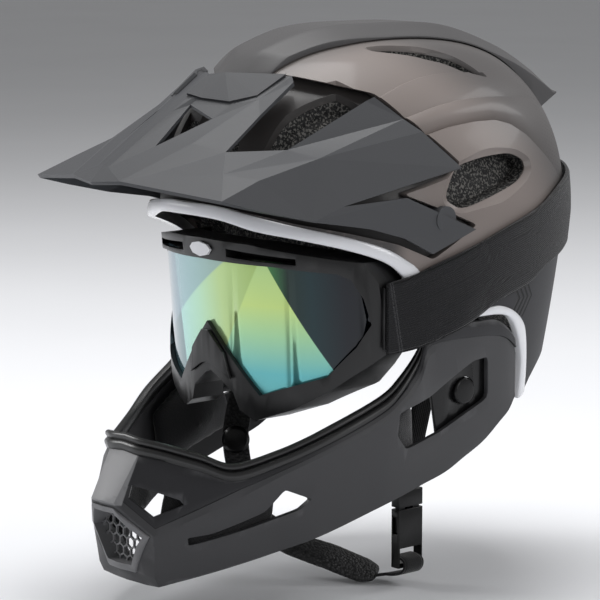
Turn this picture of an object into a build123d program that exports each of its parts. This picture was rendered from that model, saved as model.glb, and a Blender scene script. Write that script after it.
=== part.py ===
from build123d import *
from math import cos, hypot, radians, sin, sqrt
import os

os.makedirs("parts", exist_ok=True)

# Full face downhill helmet with its goggles on, in millimetres.
# It faces -Y, +X is the wearer's left, +Z is up, and the origin is the middle of the head cavity.

# Driving sizes of the shell
SHELL_HALF_WIDTH = 109.0
SHELL_HALF_LENGTH = 137.0
CROWN_HEIGHT = 109.0
SHELL_DEPTH = 125.0
SHELL_WALL = 3.0
LINER_THICKNESS = 26.0
PAD_THICKNESS = 7.0
FIT_GAP = 0.3
OVERRUN = 30.0

# Sizes of the shell's details
PEAK_RECESS = 6.0
RIDGE_TOP_HALF = 14.0
RIDGE_FOOT_HALF = 30.0
RIDGE_FLANK_DROP = 10.0
RIDGE_STANDOFF = 0.75
RIDGE_END_LIFT = 1.8
RIDGE_RAKE_SHARE = 0.75
TAIL_THICKNESS = 6.0
TRIM_PROUD = 1.2
VENT_POCKET = 14.0

# Sizes of the peak, the visor above the face
PEAK_WALL = 2.6
PEAK_PIVOT_Y = -SHELL_HALF_LENGTH * 0.23358
PEAK_PIVOT_Z = CROWN_HEIGHT * 0.073395
PIVOT_PIN_RADIUS = 3.0
PIVOT_BOSS_RADIUS = 7.5
PIVOT_RUNNING_GAP = 0.08
PIVOT_FLANGE_RADIUS = 9.0
PIVOT_FLANGE_THICKNESS = 2.0
PIVOT_END_PLAY = 1.5
TONGUE_THICKNESS = 1.8

# Sizes of the chin guard
CHIN_WALL = 3.0
RIM_HEIGHT = 9.0
RIM_HALF_THICKNESS = 3.4
CHIN_FOAM_THICKNESS = 11.0
NET_PITCH = 6.4
NET_WEB = 1.0
NET_THICKNESS = 1.4
BEZEL_DEPTH = 15.0
BEZEL_PROUD = 1.2
CHEEK_THICKNESS = 17.0

# Sizes of the goggles
FRAME_RADIUS = SHELL_HALF_WIDTH
LENS_SETBACK = 3.0
LENS_RADIUS = FRAME_RADIUS - LENS_SETBACK
LENS_THICKNESS = 1.6
GOGGLE_TILT = 4.86
GOGGLE_AXIS_Y = -14.0
GOGGLE_AXIS_Z = -12.0
FRAME_DEPTH = 22.0
FRAME_INNER_RADIUS = FRAME_RADIUS - FRAME_DEPTH
FRAME_LIP = 2.4
FRAME_REAR_Y = -52.0
FACE_FOAM_THICKNESS = 14.0
FACE_FOAM_INSET = 3.0
FOAM_WINDOW_SHARE = 0.78
NOSE_GUARD_THICKNESS = 2.2
TAB_THICKNESS = 1.6
STRAP_THICKNESS = 2.2
STRAP_STANDOFF = 2.3

# Sizes of the chin strap and its buckle
WEB_WIDTH = 16.0
WEB_THICKNESS = 1.8
BUCKLE_WIDTH = 20.0
BUCKLE_THICKNESS = 7.0
SOCKET_HEIGHT = 35.6
PLUG_HEIGHT = 10.0
BUCKLE_WALL = 1.4
PRONG_TRAVEL = 1.2
ANCHOR_THICKNESS = 2.0
SLEEVE_WIDTH = 27.0
SLEEVE_THICKNESS = 8.0
STRAP_STUD_RADIUS = 8.5
STRAP_STUD_THICKNESS = 4.0

# Sizes of the fit system
BAND_WIDTH = 22.0
BAND_THICKNESS = 2.2
DIAL_RADIUS = 15.0
DIAL_THICKNESS = 9.0
HOUSING_WIDTH = 42.0
HOUSING_HEIGHT = 26.0
HOUSING_THICKNESS = 8.0


# The head form that every shell layer follows
def head_section(z, inset):
    """Half width and half length of the head form at a height, inset from the outer shell."""
    if z >= 0:
        share = min(z / (CROWN_HEIGHT - inset), 1.0)
        wide = sqrt(1 - share * share)
        long = (1 - share ** 2.7) ** 0.37
    else:
        share = -z / SHELL_DEPTH
        wide = 1 - 0.14 * share ** 1.3
        long = 1 - 0.16 * share ** 1.25
    return (SHELL_HALF_WIDTH - inset) * wide, (SHELL_HALF_LENGTH - inset) * long


UPPER_LEVEL_SHARES = [0.28, 0.5, 0.68, 0.81, 0.9, 0.955, 0.985]
LOWER_LEVEL_SHARES = [0.92, 0.7, 0.48, 0.26, 0.1]


def head_form(inset):
    """Closed solid of the head form, inset from the outer shell."""
    top = CROWN_HEIGHT - inset
    levels = [-share * SHELL_DEPTH for share in LOWER_LEVEL_SHARES] + [0]
    levels += [share * top for share in UPPER_LEVEL_SHARES]
    faces = []
    for z in levels:
        half_width, half_length = head_section(z, inset)
        faces.append(Plane.XY.offset(z) * Ellipse(half_width, half_length))
    return loft(faces)


def half_width_at(y, z, inset=0.0):
    """How far the head form reaches to the side at one place."""
    half_width, half_length = head_section(z, inset)
    return half_width * sqrt(max(1 - (y / half_length) ** 2, 0))


def place(point):
    """A point in shares of half width, half length and crown height, in millimetres."""
    x, y, z = point
    return Vector(x * SHELL_HALF_WIDTH, y * SHELL_HALF_LENGTH, z * CROWN_HEIGHT)


def side_prism(shares, inner_x=None, outer_x=None):
    """Prism along X over a side outline given in shares of half length and crown height."""
    points = [(y * SHELL_HALF_LENGTH, z * CROWN_HEIGHT) for y, z in shares]
    face = Plane.YZ * make_face(Polyline(*points, close=True))
    reach = SHELL_HALF_WIDTH + OVERRUN
    if inner_x is None:
        return extrude(face, amount=reach, both=True)
    outer = outer_x if outer_x else reach
    one = extrude(face.moved(Location((inner_x, 0, 0))), amount=outer - inner_x)
    return one + mirror(one, Plane.YZ)


def top_prism(shares, low, high):
    """Prism along Z over a plan outline in shares of half width and half length, on both sides."""
    points = [(x * SHELL_HALF_WIDTH, y * SHELL_HALF_LENGTH) for x, y in shares]
    face = Plane.XY.offset(low) * make_face(Polyline(*points, close=True))
    one = extrude(face, amount=high - low)
    return one + mirror(one, Plane.YZ)


def facet_solid(faces):
    """Closed solid from flat polygons, turned right side out."""
    shell = Shell([Face(Wire.make_polygon(list(points), close=True)) for points in faces])
    solid = Solid(shell)
    if solid.volume < 0:
        solid = Solid(solid.wrapped.Reversed())
    return solid


def skin_solid(outer, inner):
    """Closed solid between two grids of points, each grid a list of columns."""
    faces = []

    def quad(a, b, c, d):
        faces.append((a, b, c))
        faces.append((a, c, d))

    count = len(outer)
    rows = len(outer[0])
    for i in range(count - 1):
        for j in range(rows - 1):
            quad(outer[i][j], outer[i + 1][j], outer[i + 1][j + 1], outer[i][j + 1])
            quad(inner[i][j], inner[i][j + 1], inner[i + 1][j + 1], inner[i + 1][j])
        quad(outer[i][0], inner[i][0], inner[i + 1][0], outer[i + 1][0])
        quad(outer[i][-1], outer[i + 1][-1], inner[i + 1][-1], inner[i][-1])
    for j in range(rows - 1):
        quad(outer[0][j], outer[0][j + 1], inner[0][j + 1], inner[0][j])
        quad(outer[-1][j], inner[-1][j], inner[-1][j + 1], outer[-1][j + 1])
    return facet_solid(faces)


def tube_solid(rings):
    """Closed solid through rings of points, with flat facets."""
    faces = []
    size = len(rings[0])
    for ring, following in zip(rings, rings[1:]):
        for j in range(size):
            k = (j + 1) % size
            faces.append((ring[j], ring[k], following[k]))
            faces.append((ring[j], following[k], following[j]))
    for ring, flip in ((rings[0], True), (rings[-1], False)):
        for j in range(1, size - 1):
            corner = (ring[0], ring[j], ring[j + 1])
            faces.append(corner[::-1] if flip else corner)
    return facet_solid(faces)


def save(name, *solids):
    """Write one node, keeping separate solids separate."""
    flat = []
    for item in solids:
        flat.extend(item.solids())
    for solid in flat:
        solid.label = name
    shape = flat[0] if len(flat) == 1 else Compound(children=flat)
    shape.label = name
    export_step(shape, f"parts/{name}.step")


# Side outlines, y and z in shares of half length and crown height
TRIM_UPPER_SHARES = [
    (-1.168, 0.133), (-1.003, 0.122), (-0.898, 0.060), (-0.796, 0.009), (-0.635, -0.037),
    (-0.482, -0.080), (-0.387, -0.138), (-0.342, -0.183), (-0.277, -0.284), (-0.204, -0.367),
    (-0.102, -0.417), (-0.029, -0.433), (0.051, -0.434), (0.124, -0.436), (0.216, -0.474),
    (0.301, -0.545), (0.345, -0.628), (0.389, -0.825), (0.406, -0.972),
]
PORT_EDGE_SHARES = [
    (-1.168, 0.064), (-1.000, 0.064), (-0.901, -0.009), (-0.796, -0.046), (-0.631, -0.101),
    (-0.496, -0.142), (-0.420, -0.202), (-0.343, -0.321), (-0.248, -0.431), (-0.131, -0.468),
    (-0.033, -0.477), (0.109, -0.482), (0.197, -0.514), (0.263, -0.606), (0.310, -0.716),
    (0.336, -0.817), (0.350, -1.000),
]
HEM_SHARES = [
    (0.460, -0.908), (0.540, -0.849), (0.650, -0.803), (0.818, -0.761), (1.168, -0.734),
]
SPLIT_SHARES = [
    (-0.310, -0.230), (-0.219, -0.248), (0.000, -0.202), (0.292, -0.119), (0.584, -0.037),
    (1.168, 0.055),
]
ABOVE_SHARES = [(1.168, 1.400), (-1.168, 1.400)]
LINER_EDGE_SHARES = [
    (-1.168, 0.085), (-0.900, 0.080), (-0.620, 0.020), (-0.420, 0.000), (-0.330, -0.180),
    (-0.260, -0.360), (-0.120, -0.440), (0.120, -0.450), (0.230, -0.560), (0.320, -0.740),
    (0.370, -0.880), (0.460, -0.860), (0.650, -0.760), (1.168, -0.700),
]
RECESS_SHARES = [
    (-1.168, 1.193), (-0.818, 0.862), (-0.613, 0.807), (-0.365, 0.716), (-0.292, 0.596),
    (-0.241, 0.532), (-0.102, 0.349), (-0.175, 0.284), (-0.401, 0.211), (-0.058, 0.028),
    (-0.277, -0.138), (-0.438, -0.046), (-0.620, 0.018), (-0.803, 0.073), (-1.022, 0.165),
    (-1.168, 0.183),
]
SIDE_VENT_SHARES = [
    (-0.124, 0.336), (0.051, 0.372), (0.223, 0.376), (0.314, 0.330), (0.314, 0.275),
    (0.245, 0.220), (0.069, 0.165), (-0.124, 0.107), (-0.209, 0.172),
]
RIDGE_SHARES = [
    (-0.869, 0.800), (-0.737, 0.908), (-0.606, 0.991), (-0.350, 1.055), (-0.015, 1.060),
    (0.372, 1.028), (0.715, 0.890), (0.942, 0.743), (1.015, 0.670),
]
TAIL_SHARES = [(0.0, 0.0), (0.700, 0.300), (0.818, 0.459), (1.015, 0.600)]

# Plan outlines of the roof vents, x and y in shares of half width and half length
TOP_VENT_SHARES = [
    (0.330, -0.212), (0.339, -0.102), (0.394, 0.062), (0.459, 0.197), (0.550, 0.277),
    (0.596, 0.307), (0.587, 0.193), (0.495, 0.058), (0.431, -0.088), (0.385, -0.182),
]
FRONT_VENT_SHARES = [
    (0.367, -0.934), (0.394, -0.701), (0.477, -0.482), (0.606, -0.409), (0.670, -0.453),
    (0.642, -0.788),
]
BROW_VENT_SHARES = [
    (0.073, -0.940), (0.073, -0.840), (0.240, -0.800), (0.260, -0.900),
]


def grown(shares, margin):
    """A side outline in shares, grown about its own middle by a margin in millimetres."""
    mid_y = sum(y for y, z in shares) / len(shares) * SHELL_HALF_LENGTH
    mid_z = sum(z for y, z in shares) / len(shares) * CROWN_HEIGHT
    result = []
    for y, z in shares:
        dy = y * SHELL_HALF_LENGTH - mid_y
        dz = z * CROWN_HEIGHT - mid_z
        scale = 1 + margin / hypot(dy, dz)
        result.append((
            (mid_y + dy * scale) / SHELL_HALF_LENGTH,
            (mid_z + dz * scale) / CROWN_HEIGHT,
        ))
    return result


def moved_out(points, margin):
    """Corners of a closed outline, anticlockwise, with every side moved outwards by a margin."""
    result = []
    count = len(points)
    for i in range(count):
        before = Vector(*points[i - 1])
        here = Vector(*points[i])
        after = Vector(*points[(i + 1) % count])
        first = (here - before).normalized()
        second = (after - here).normalized()
        bisector = Vector(first.Y + second.Y, -first.X - second.X)
        scale = 2 * margin / bisector.dot(bisector)
        moved = here + bisector * scale
        result.append((moved.X, moved.Y))
    return result


def widened(shares, margin):
    """A clockwise side outline in shares with every side moved outwards by a margin."""
    points = [(y * SHELL_HALF_LENGTH, z * CROWN_HEIGHT) for y, z in shares[::-1]]
    moved = moved_out(points, margin)
    return [(y / SHELL_HALF_LENGTH, z / CROWN_HEIGHT) for y, z in moved[::-1]]


def along(table, y):
    """Height from a table of y and z shares, between its points, in millimetres."""
    share = y / SHELL_HALF_LENGTH
    for (y0, z0), (y1, z1) in zip(table, table[1:]):
        if y0 <= share <= y1:
            return (z0 + (z1 - z0) * (share - y0) / (y1 - y0)) * CROWN_HEIGHT
    return (table[0] if share < table[0][0] else table[-1])[1] * CROWN_HEIGHT


def crown_height_at(x, y):
    """Height of the head form over one place, or None beyond its outline."""
    low = 0.0
    high = CROWN_HEIGHT * 0.999
    if (x / SHELL_HALF_WIDTH) ** 2 + (y / SHELL_HALF_LENGTH) ** 2 >= 1:
        return None
    for step in range(30):
        mid = (low + high) / 2
        half_width, half_length = head_section(mid, 0)
        inside = (x / half_width) ** 2 + (y / half_length) ** 2 < 1
        low, high = (mid, high) if inside else (low, mid)
    return low


# Crown spine, a raised moulding from the peak's seam to a tail over the nape
SPINE_STATIONS = 22
SPINE_START_SHARE = -0.818
SPINE_CROSS_SHARES = [-1.0, -0.47, 0.0, 0.47, 1.0]


def crown_spine():
    outer = []
    inner = []
    start = SPINE_START_SHARE * SHELL_HALF_LENGTH
    end = RIDGE_SHARES[-1][0] * SHELL_HALF_LENGTH
    for i in range(SPINE_STATIONS):
        share = i / (SPINE_STATIONS - 1)
        top_row = []
        low_row = []
        for cross in SPINE_CROSS_SHARES:
            x = cross * RIDGE_FOOT_HALF * (0.86 + 0.14 * min(share * 4, 1))
            y = start + (end - start) * share
            y += RIDGE_RAKE_SHARE * abs(x) * (1 - share) ** 3
            top = along(RIDGE_SHARES, y)
            below = crown_height_at(x, y)
            under = along(TAIL_SHARES, y) if y > 0 else 0.0
            standoff = RIDGE_STANDOFF * (1 + RIDGE_END_LIFT * (2 * share - 1) ** 2)
            floor = max(below + standoff if below else 0.0, under)
            drop = RIDGE_FLANK_DROP * (0.6 + 0.4 * share) if abs(cross) == 1 else 0.0
            crest = max(top - drop, floor + TRIM_PROUD)
            top_row.append(Vector(x, y, crest))
            low_row.append(Vector(x, y, floor))
        outer.append(top_row)
        inner.append(low_row)
    return skin_solid(outer, inner)


save("crown_spine", crown_spine())

recess_prism = side_prism(RECESS_SHARES)
recess_outer_zone = recess_prism - head_form(PEAK_RECESS)
recess_inner_zone = side_prism(grown(RECESS_SHARES, SHELL_WALL))
recess_inner_zone = recess_inner_zone - head_form(PEAK_RECESS + SHELL_WALL)
outer_body = head_form(0.0) - recess_outer_zone
inner_body = head_form(SHELL_WALL) - recess_inner_zone

shell_zone = side_prism(TRIM_UPPER_SHARES + HEM_SHARES + ABOVE_SHARES)
upper_zone = side_prism([TRIM_UPPER_SHARES[i] for i in range(8)] + SPLIT_SHARES + ABOVE_SHARES)
side_vents = side_prism(SIDE_VENT_SHARES, SHELL_HALF_WIDTH / 2)
top_vents = top_prism(TOP_VENT_SHARES, CROWN_HEIGHT / 2, CROWN_HEIGHT * 1.5)
front_vents = top_prism(FRONT_VENT_SHARES, CROWN_HEIGHT / 4, CROWN_HEIGHT * 1.5)
brow_vents = top_prism(BROW_VENT_SHARES, CROWN_HEIGHT / 4, CROWN_HEIGHT * 1.5)


def pivot_axis(radius, inner_x, outer_x):
    """Cylinder along X at the peak's hinge, on both sides."""
    plane = Plane(origin=(inner_x, PEAK_PIVOT_Y, PEAK_PIVOT_Z), x_dir=(0, 1, 0), z_dir=(1, 0, 0))
    one = extrude(plane * Circle(radius), amount=outer_x - inner_x)
    return one + mirror(one, Plane.YZ)


PIVOT_SHELL_X = half_width_at(PEAK_PIVOT_Y, PEAK_PIVOT_Z, PEAK_RECESS)
PIVOT_FLANGE_X = PIVOT_SHELL_X - SHELL_WALL - FIT_GAP - PIVOT_FLANGE_THICKNESS - PIVOT_END_PLAY
boss_hole = pivot_axis(PIVOT_BOSS_RADIUS + FIT_GAP * 4, PIVOT_FLANGE_X, SHELL_HALF_WIDTH)

shell = (outer_body - inner_body) & shell_zone
shell = shell - side_vents - top_vents - front_vents - brow_vents - boss_hole
outer_shell = shell & upper_zone
rear_shell = shell - upper_zone
save("outer_shell", outer_shell)
save("rear_shell", rear_shell)

# White rim that edges the face port, from the brow round the ear to the tip behind the chin guard
trim_zone = side_prism(PORT_EDGE_SHARES + TRIM_UPPER_SHARES[::-1])
rim_trim = (head_form(-TRIM_PROUD) - head_form(SHELL_WALL)) & trim_zone
save("rim_trim", rim_trim)

# Foam liner under the shell
liner_gap_body = head_form(SHELL_WALL + FIT_GAP)
liner_recess = side_prism(widened(grown(RECESS_SHARES, SHELL_WALL), FIT_GAP * 2))
liner_recess = liner_recess - head_form(PEAK_RECESS + SHELL_WALL + FIT_GAP)
LINER_INSET = SHELL_WALL + FIT_GAP + LINER_THICKNESS
liner_zone = side_prism(LINER_EDGE_SHARES + ABOVE_SHARES)
pocket_zone = (side_vents + top_vents + front_vents + brow_vents) - head_form(VENT_POCKET)
DIAL_Z = -CROWN_HEIGHT * 0.6
BAND_INSET = LINER_INSET + FIT_GAP + PAD_THICKNESS
band_rear_y = head_section(DIAL_Z, BAND_INSET)[1]
dial_bay = Pos(0, band_rear_y + SHELL_HALF_LENGTH / 4, DIAL_Z) * Box(
    HOUSING_WIDTH * 2, SHELL_HALF_LENGTH / 2, HOUSING_HEIGHT * 2.2)
ANCHOR_DEPTH = 20.0
ANCHOR_X = SHELL_HALF_WIDTH - ANCHOR_DEPTH
ANCHOR_Y = -14.0
ANCHOR_Z = -49.0
ANCHOR_WIDTH = 20.0
ANCHOR_HEIGHT = 14.0
ANCHOR_RIVET_RADIUS = 3.0
anchor_bay = Pos(ANCHOR_X - ANCHOR_THICKNESS, ANCHOR_Y, ANCHOR_Z) * Box(
    ANCHOR_THICKNESS * 5, ANCHOR_WIDTH * 1.1, ANCHOR_HEIGHT * 2)
rivet_plane = Plane(
    origin=(ANCHOR_X, ANCHOR_Y, ANCHOR_Z + ANCHOR_HEIGHT / 4), x_dir=(0, 1, 0), z_dir=(1, 0, 0))
anchor_bay = anchor_bay + extrude(
    rivet_plane * Circle(ANCHOR_RIVET_RADIUS + FIT_GAP), amount=SHELL_HALF_WIDTH - ANCHOR_X)
anchor_bay = anchor_bay + mirror(anchor_bay, Plane.YZ)
liner = (liner_gap_body - liner_recess - head_form(LINER_INSET)) & liner_zone
pin_pocket = pivot_axis(PIVOT_FLANGE_RADIUS + FIT_GAP, PIVOT_FLANGE_X - FIT_GAP, SHELL_HALF_WIDTH)
liner = liner - pocket_zone - pin_pocket - dial_bay - anchor_bay
LINER_SPLIT_Z = -CROWN_HEIGHT * 0.11
liner_upper_zone = Pos(0, 0, LINER_SPLIT_Z + CROWN_HEIGHT + FIT_GAP / 2) * Box(
    SHELL_HALF_WIDTH * 3, SHELL_HALF_LENGTH * 3, CROWN_HEIGHT * 2)
liner_lower_zone = Pos(0, 0, LINER_SPLIT_Z - CROWN_HEIGHT - FIT_GAP / 2) * Box(
    SHELL_HALF_WIDTH * 3, SHELL_HALF_LENGTH * 3, CROWN_HEIGHT * 2)
for name, zone in (("foam_liner", liner_upper_zone), ("foam_liner_lower", liner_lower_zone)):
    save(name, max((liner & zone).solids(), key=lambda s: s.volume))

# Comfort pads fixed to the liner
PAD_INSET = LINER_INSET + FIT_GAP
pad_layer = head_form(PAD_INSET) - head_form(PAD_INSET + PAD_THICKNESS)
BROW_PAD_SHARES = [(-1.10, 0.14), (-0.42, 0.05), (-0.42, 0.30), (-1.10, 0.38)]
SIDE_PAD_SHARES = [(-0.18, 0.08), (0.36, 0.14), (0.36, 0.42), (-0.18, 0.36)]
REAR_PAD_SHARES = [(0.50, -0.10), (1.00, -0.10), (1.00, 0.16), (0.50, 0.16)]
brow_pad = pad_layer & side_prism(BROW_PAD_SHARES)
side_pads = (pad_layer & side_prism(SIDE_PAD_SHARES)).solids()
rear_pad = pad_layer & side_prism(REAR_PAD_SHARES)
crown_pad = pad_layer & (Pos(0, 0, CROWN_HEIGHT) * Box(
    SHELL_HALF_WIDTH * 0.4, SHELL_HALF_LENGTH * 1.1, CROWN_HEIGHT * 1.2))
save("brow_pad", brow_pad)
save("side_pad_left", *[s for s in side_pads if s.center().X > 0])
save("side_pad_right", *[s for s in side_pads if s.center().X < 0])
save("rear_pad", rear_pad)
save("crown_pad", crown_pad)

# Peak, a thin faceted moulding, its corners in shares of half width, half length and crown height
PEAK_SHARES = {
    "front": (0.000, -1.482, 0.303), "corner": (0.202, -1.453, 0.321),
    "tip": (0.780, -1.299, 0.257), "pinch": (0.046, -1.416, 0.376),
    "spine": (0.055, -1.088, 0.640), "seam": (0.064, -0.876, 0.812),
    "front_mid": (0.000, -1.416, 0.381), "spine_mid": (0.000, -1.088, 0.649),
    "seam_mid": (0.000, -0.872, 0.826), "vent_low": (0.147, -1.234, 0.477),
    "vent_top": (0.092, -1.015, 0.670), "vent_rear": (0.239, -0.993, 0.606),
    "tongue": (0.257, -0.905, 0.672), "brow_a": (0.312, -1.146, 0.496),
    "brow_b": (0.339, -0.810, 0.700), "brow_c": (0.358, -0.642, 0.810),
    "seam_b": (0.128, -0.830, 0.820), "hole_front": (0.477, -1.080, 0.459),
    "hole_mid": (0.422, -0.861, 0.625), "hole_top": (0.413, -0.672, 0.785),
    "hole_end": (0.676, -0.410, 0.706), "hole_low": (0.661, -0.445, 0.685),
    "hole_side": (0.606, -0.839, 0.459), "fold_a": (0.303, -1.336, 0.358),
    "fold_b": (0.615, -1.182, 0.368), "edge_a": (0.771, -1.102, 0.340),
    "edge_b": (0.799, -0.803, 0.427), "edge_c": (0.795, -0.331, 0.592),
    "seam_c": (0.868, -0.278, 0.527), "wing_top": (0.988, -0.139, 0.335),
    "fork": (0.897, -0.737, 0.183), "wing_b": (0.963, -0.431, 0.202),
    "wing_tip": (1.037, -0.090, 0.009), "wing_low": (0.998, -0.307, -0.101),
    "side_a": (0.817, -1.131, 0.193), "side_b": (0.872, -0.883, 0.119),
    "side_c": (0.927, -0.606, 0.055), "side_d": (0.960, -0.438, -0.009),
}
PEAK_FACETS = [
    ("front", "corner", "pinch", "front_mid"), ("front_mid", "pinch", "spine", "spine_mid"),
    ("spine_mid", "spine", "seam", "seam_mid"), ("pinch", "corner", "brow_a", "vent_low"),
    ("pinch", "vent_low", "vent_top", "spine"), ("spine", "vent_top", "seam_b", "seam"),
    ("vent_top", "vent_rear", "tongue", "seam_b"), ("vent_low", "brow_a", "vent_rear"),
    ("vent_rear", "brow_a", "brow_b", "tongue"), ("tongue", "brow_b", "brow_c", "seam_b"),
    ("corner", "fold_a", "hole_front", "brow_a"), ("brow_a", "hole_front", "hole_mid", "brow_b"),
    ("brow_b", "hole_mid", "hole_top", "brow_c"), ("corner", "tip", "fold_b", "fold_a"),
    ("fold_a", "fold_b", "hole_front"), ("fold_b", "hole_side", "hole_front"),
    ("tip", "edge_a", "fold_b"), ("fold_b", "edge_a", "edge_b", "hole_side"),
    ("hole_side", "edge_b", "edge_c", "hole_low"), ("hole_low", "edge_c", "hole_end"),
    ("tip", "side_a", "edge_a"), ("edge_a", "side_a", "side_b", "edge_b"),
    ("edge_b", "side_b", "fork"), ("edge_b", "fork", "wing_top", "seam_c"),
    ("edge_b", "seam_c", "edge_c"), ("side_b", "side_c", "wing_b", "fork"),
    ("side_c", "side_d", "wing_b"), ("side_d", "wing_low", "wing_tip", "wing_b"),
]


def peak_skin():
    """Upper facets of the whole peak as triangles of corner names, mirrored names start with m_."""
    triangles = []
    for facet in PEAK_FACETS:
        for k in range(1, len(facet) - 1):
            tri = (facet[0], facet[k], facet[k + 1])
            triangles.append(tri)
            other = tuple(n if PEAK_SHARES[n][0] == 0 else "m_" + n for n in tri)
            triangles.append(other[::-1])
    return triangles


def peak_points():
    points = {}
    for name, share in PEAK_SHARES.items():
        point = place(share)
        points[name] = point
        if share[0] != 0:
            points["m_" + name] = Vector(-point.X, point.Y, point.Z)
    return points


def moved_points(points, triangles, distance):
    """The corners of a skin of triangles, moved outwards along their own normals."""
    normals = {name: Vector(0, 0, 0) for name in points}
    for a, b, c in triangles:
        normal = (points[b] - points[a]).cross(points[c] - points[a])
        for name in (a, b, c):
            normals[name] = normals[name] + normal.normalized()
    return {name: point + normals[name].normalized() * distance for name, point in points.items()}


def thick_skin(points, triangles, wall):
    """Closed solid under a skin of triangles, its underside moved along the corners' normals."""
    under = moved_points(points, triangles, -wall)
    faces = [(points[a], points[b], points[c]) for a, b, c in triangles]
    faces += [(under[a], under[c], under[b]) for a, b, c in triangles]
    edges = {}
    for tri in triangles:
        for a, b in zip(tri, tri[1:] + tri[:1]):
            edges[(a, b)] = True
    for a, b in edges:
        if (b, a) not in edges:
            faces.append((points[a], under[a], under[b]))
            faces.append((points[a], under[b], points[b]))
    return facet_solid(faces)


peak = thick_skin(peak_points(), peak_skin(), PEAK_WALL)
PIVOT_WING_X = SHELL_HALF_WIDTH
boss = pivot_axis(PIVOT_BOSS_RADIUS, PIVOT_SHELL_X - SHELL_WALL, PIVOT_WING_X)
boss = boss - pivot_axis(PIVOT_PIN_RADIUS + PIVOT_RUNNING_GAP, 0, PIVOT_WING_X - PEAK_WALL)
peak = peak + boss
save("peak", peak)

# Hinge pins of the peak, a headed pin from the liner side through the shell on each side
pins = pivot_axis(PIVOT_PIN_RADIUS, PIVOT_FLANGE_X, PIVOT_WING_X - PEAK_WALL - FIT_GAP)
pins = pins + pivot_axis(PIVOT_FLANGE_RADIUS, PIVOT_FLANGE_X, PIVOT_FLANGE_X + PIVOT_FLANGE_THICKNESS)
save("peak_pivot_pins", pins)

# Centre plate of the peak, the tongue between its two brow vents
TONGUE_SHARES = {
    "a": (0.052, -1.000, 0.712), "b": (0.062, -0.886, 0.806), "c": (0.124, -0.842, 0.814),
    "d": (0.340, -0.655, 0.806), "e": (0.320, -0.800, 0.704), "f": (0.246, -0.900, 0.675),
    "g": (0.120, -0.965, 0.690),
}
TONGUE_FACETS = [("a", "g", "b"), ("b", "g", "c"), ("g", "f", "c"), ("f", "e", "c"), ("c", "e", "d")]


def tongue_plate():
    lift = Vector(0, -0.55, 0.83) * (TONGUE_THICKNESS + FIT_GAP)
    points = {name: place(share) + lift for name, share in TONGUE_SHARES.items()}
    plate = thick_skin(points, TONGUE_FACETS, TONGUE_THICKNESS * 2)
    clear = thick_skin(moved_points(peak_points(), peak_skin(), FIT_GAP), peak_skin(), PEAK_WALL * 2)
    return max((plate - clear).solids(), key=lambda part: part.volume)


tongue = tongue_plate()
save("peak_cover_left", tongue)
save("peak_cover_right", mirror(tongue, Plane.YZ))

# Chin guard, columns of corners from the front centre to the rear edge on the left side.
# Each column runs from the rim over the ridge and the lower crease to the bottom edge.
CHIN_SHARES = [
    [(0.000, -1.321, -1.119), (0.000, -1.445, -1.372), (0.000, -1.358, -1.706), (0.000, -1.314, -1.826)],
    [(0.119, -1.321, -1.128), (0.096, -1.438, -1.376), (0.110, -1.336, -1.743), (0.128, -1.292, -1.835)],
    [(0.239, -1.263, -1.147), (0.266, -1.332, -1.541), (0.239, -1.314, -1.771), (0.239, -1.292, -1.826)],
    [(0.394, -1.168, -1.193), (0.431, -1.197, -1.431), (0.394, -1.175, -1.702), (0.394, -1.153, -1.761)],
    [(0.528, -1.073, -1.239), (0.560, -1.066, -1.335), (0.514, -1.044, -1.651), (0.514, -1.022, -1.702)],
    [(0.656, -0.920, -1.174), (0.679, -0.927, -1.229), (0.596, -0.905, -1.606), (0.596, -0.883, -1.651)],
    [(0.780, -0.730, -1.064), (0.794, -0.730, -1.115), (0.697, -0.745, -1.541), (0.697, -0.715, -1.583)],
    [(0.867, -0.515, -0.936), (0.883, -0.518, -0.995), (0.771, -0.482, -1.431), (0.761, -0.460, -1.482)],
    [(0.899, -0.420, -0.844), (0.916, -0.423, -0.913), (0.789, -0.365, -1.399), (0.780, -0.336, -1.436)],
    [(0.908, -0.321, -0.697), (0.934, -0.332, -0.798), (0.798, -0.219, -1.353), (0.789, -0.197, -1.385)],
    [(0.913, -0.277, -0.550), (0.939, -0.274, -0.651), (0.807, -0.088, -1.312), (0.798, -0.073, -1.339)],
    [(0.953, -0.161, -0.491), (0.941, -0.161, -0.624), (0.817, 0.015, -1.248), (0.807, 0.029, -1.275)],
    [(0.963, -0.036, -0.503), (0.950, -0.029, -0.624), (0.826, 0.124, -1.179), (0.817, 0.139, -1.202)],
    [(0.960, 0.080, -0.506), (0.940, 0.095, -0.633), (0.839, 0.205, -1.092), (0.835, 0.219, -1.110)],
    [(0.947, 0.155, -0.543), (0.925, 0.188, -0.661), (0.839, 0.272, -1.028), (0.835, 0.279, -1.050)],
    [(0.920, 0.226, -0.606), (0.893, 0.270, -0.725), (0.838, 0.312, -0.954), (0.835, 0.316, -0.977)],
]


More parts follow.
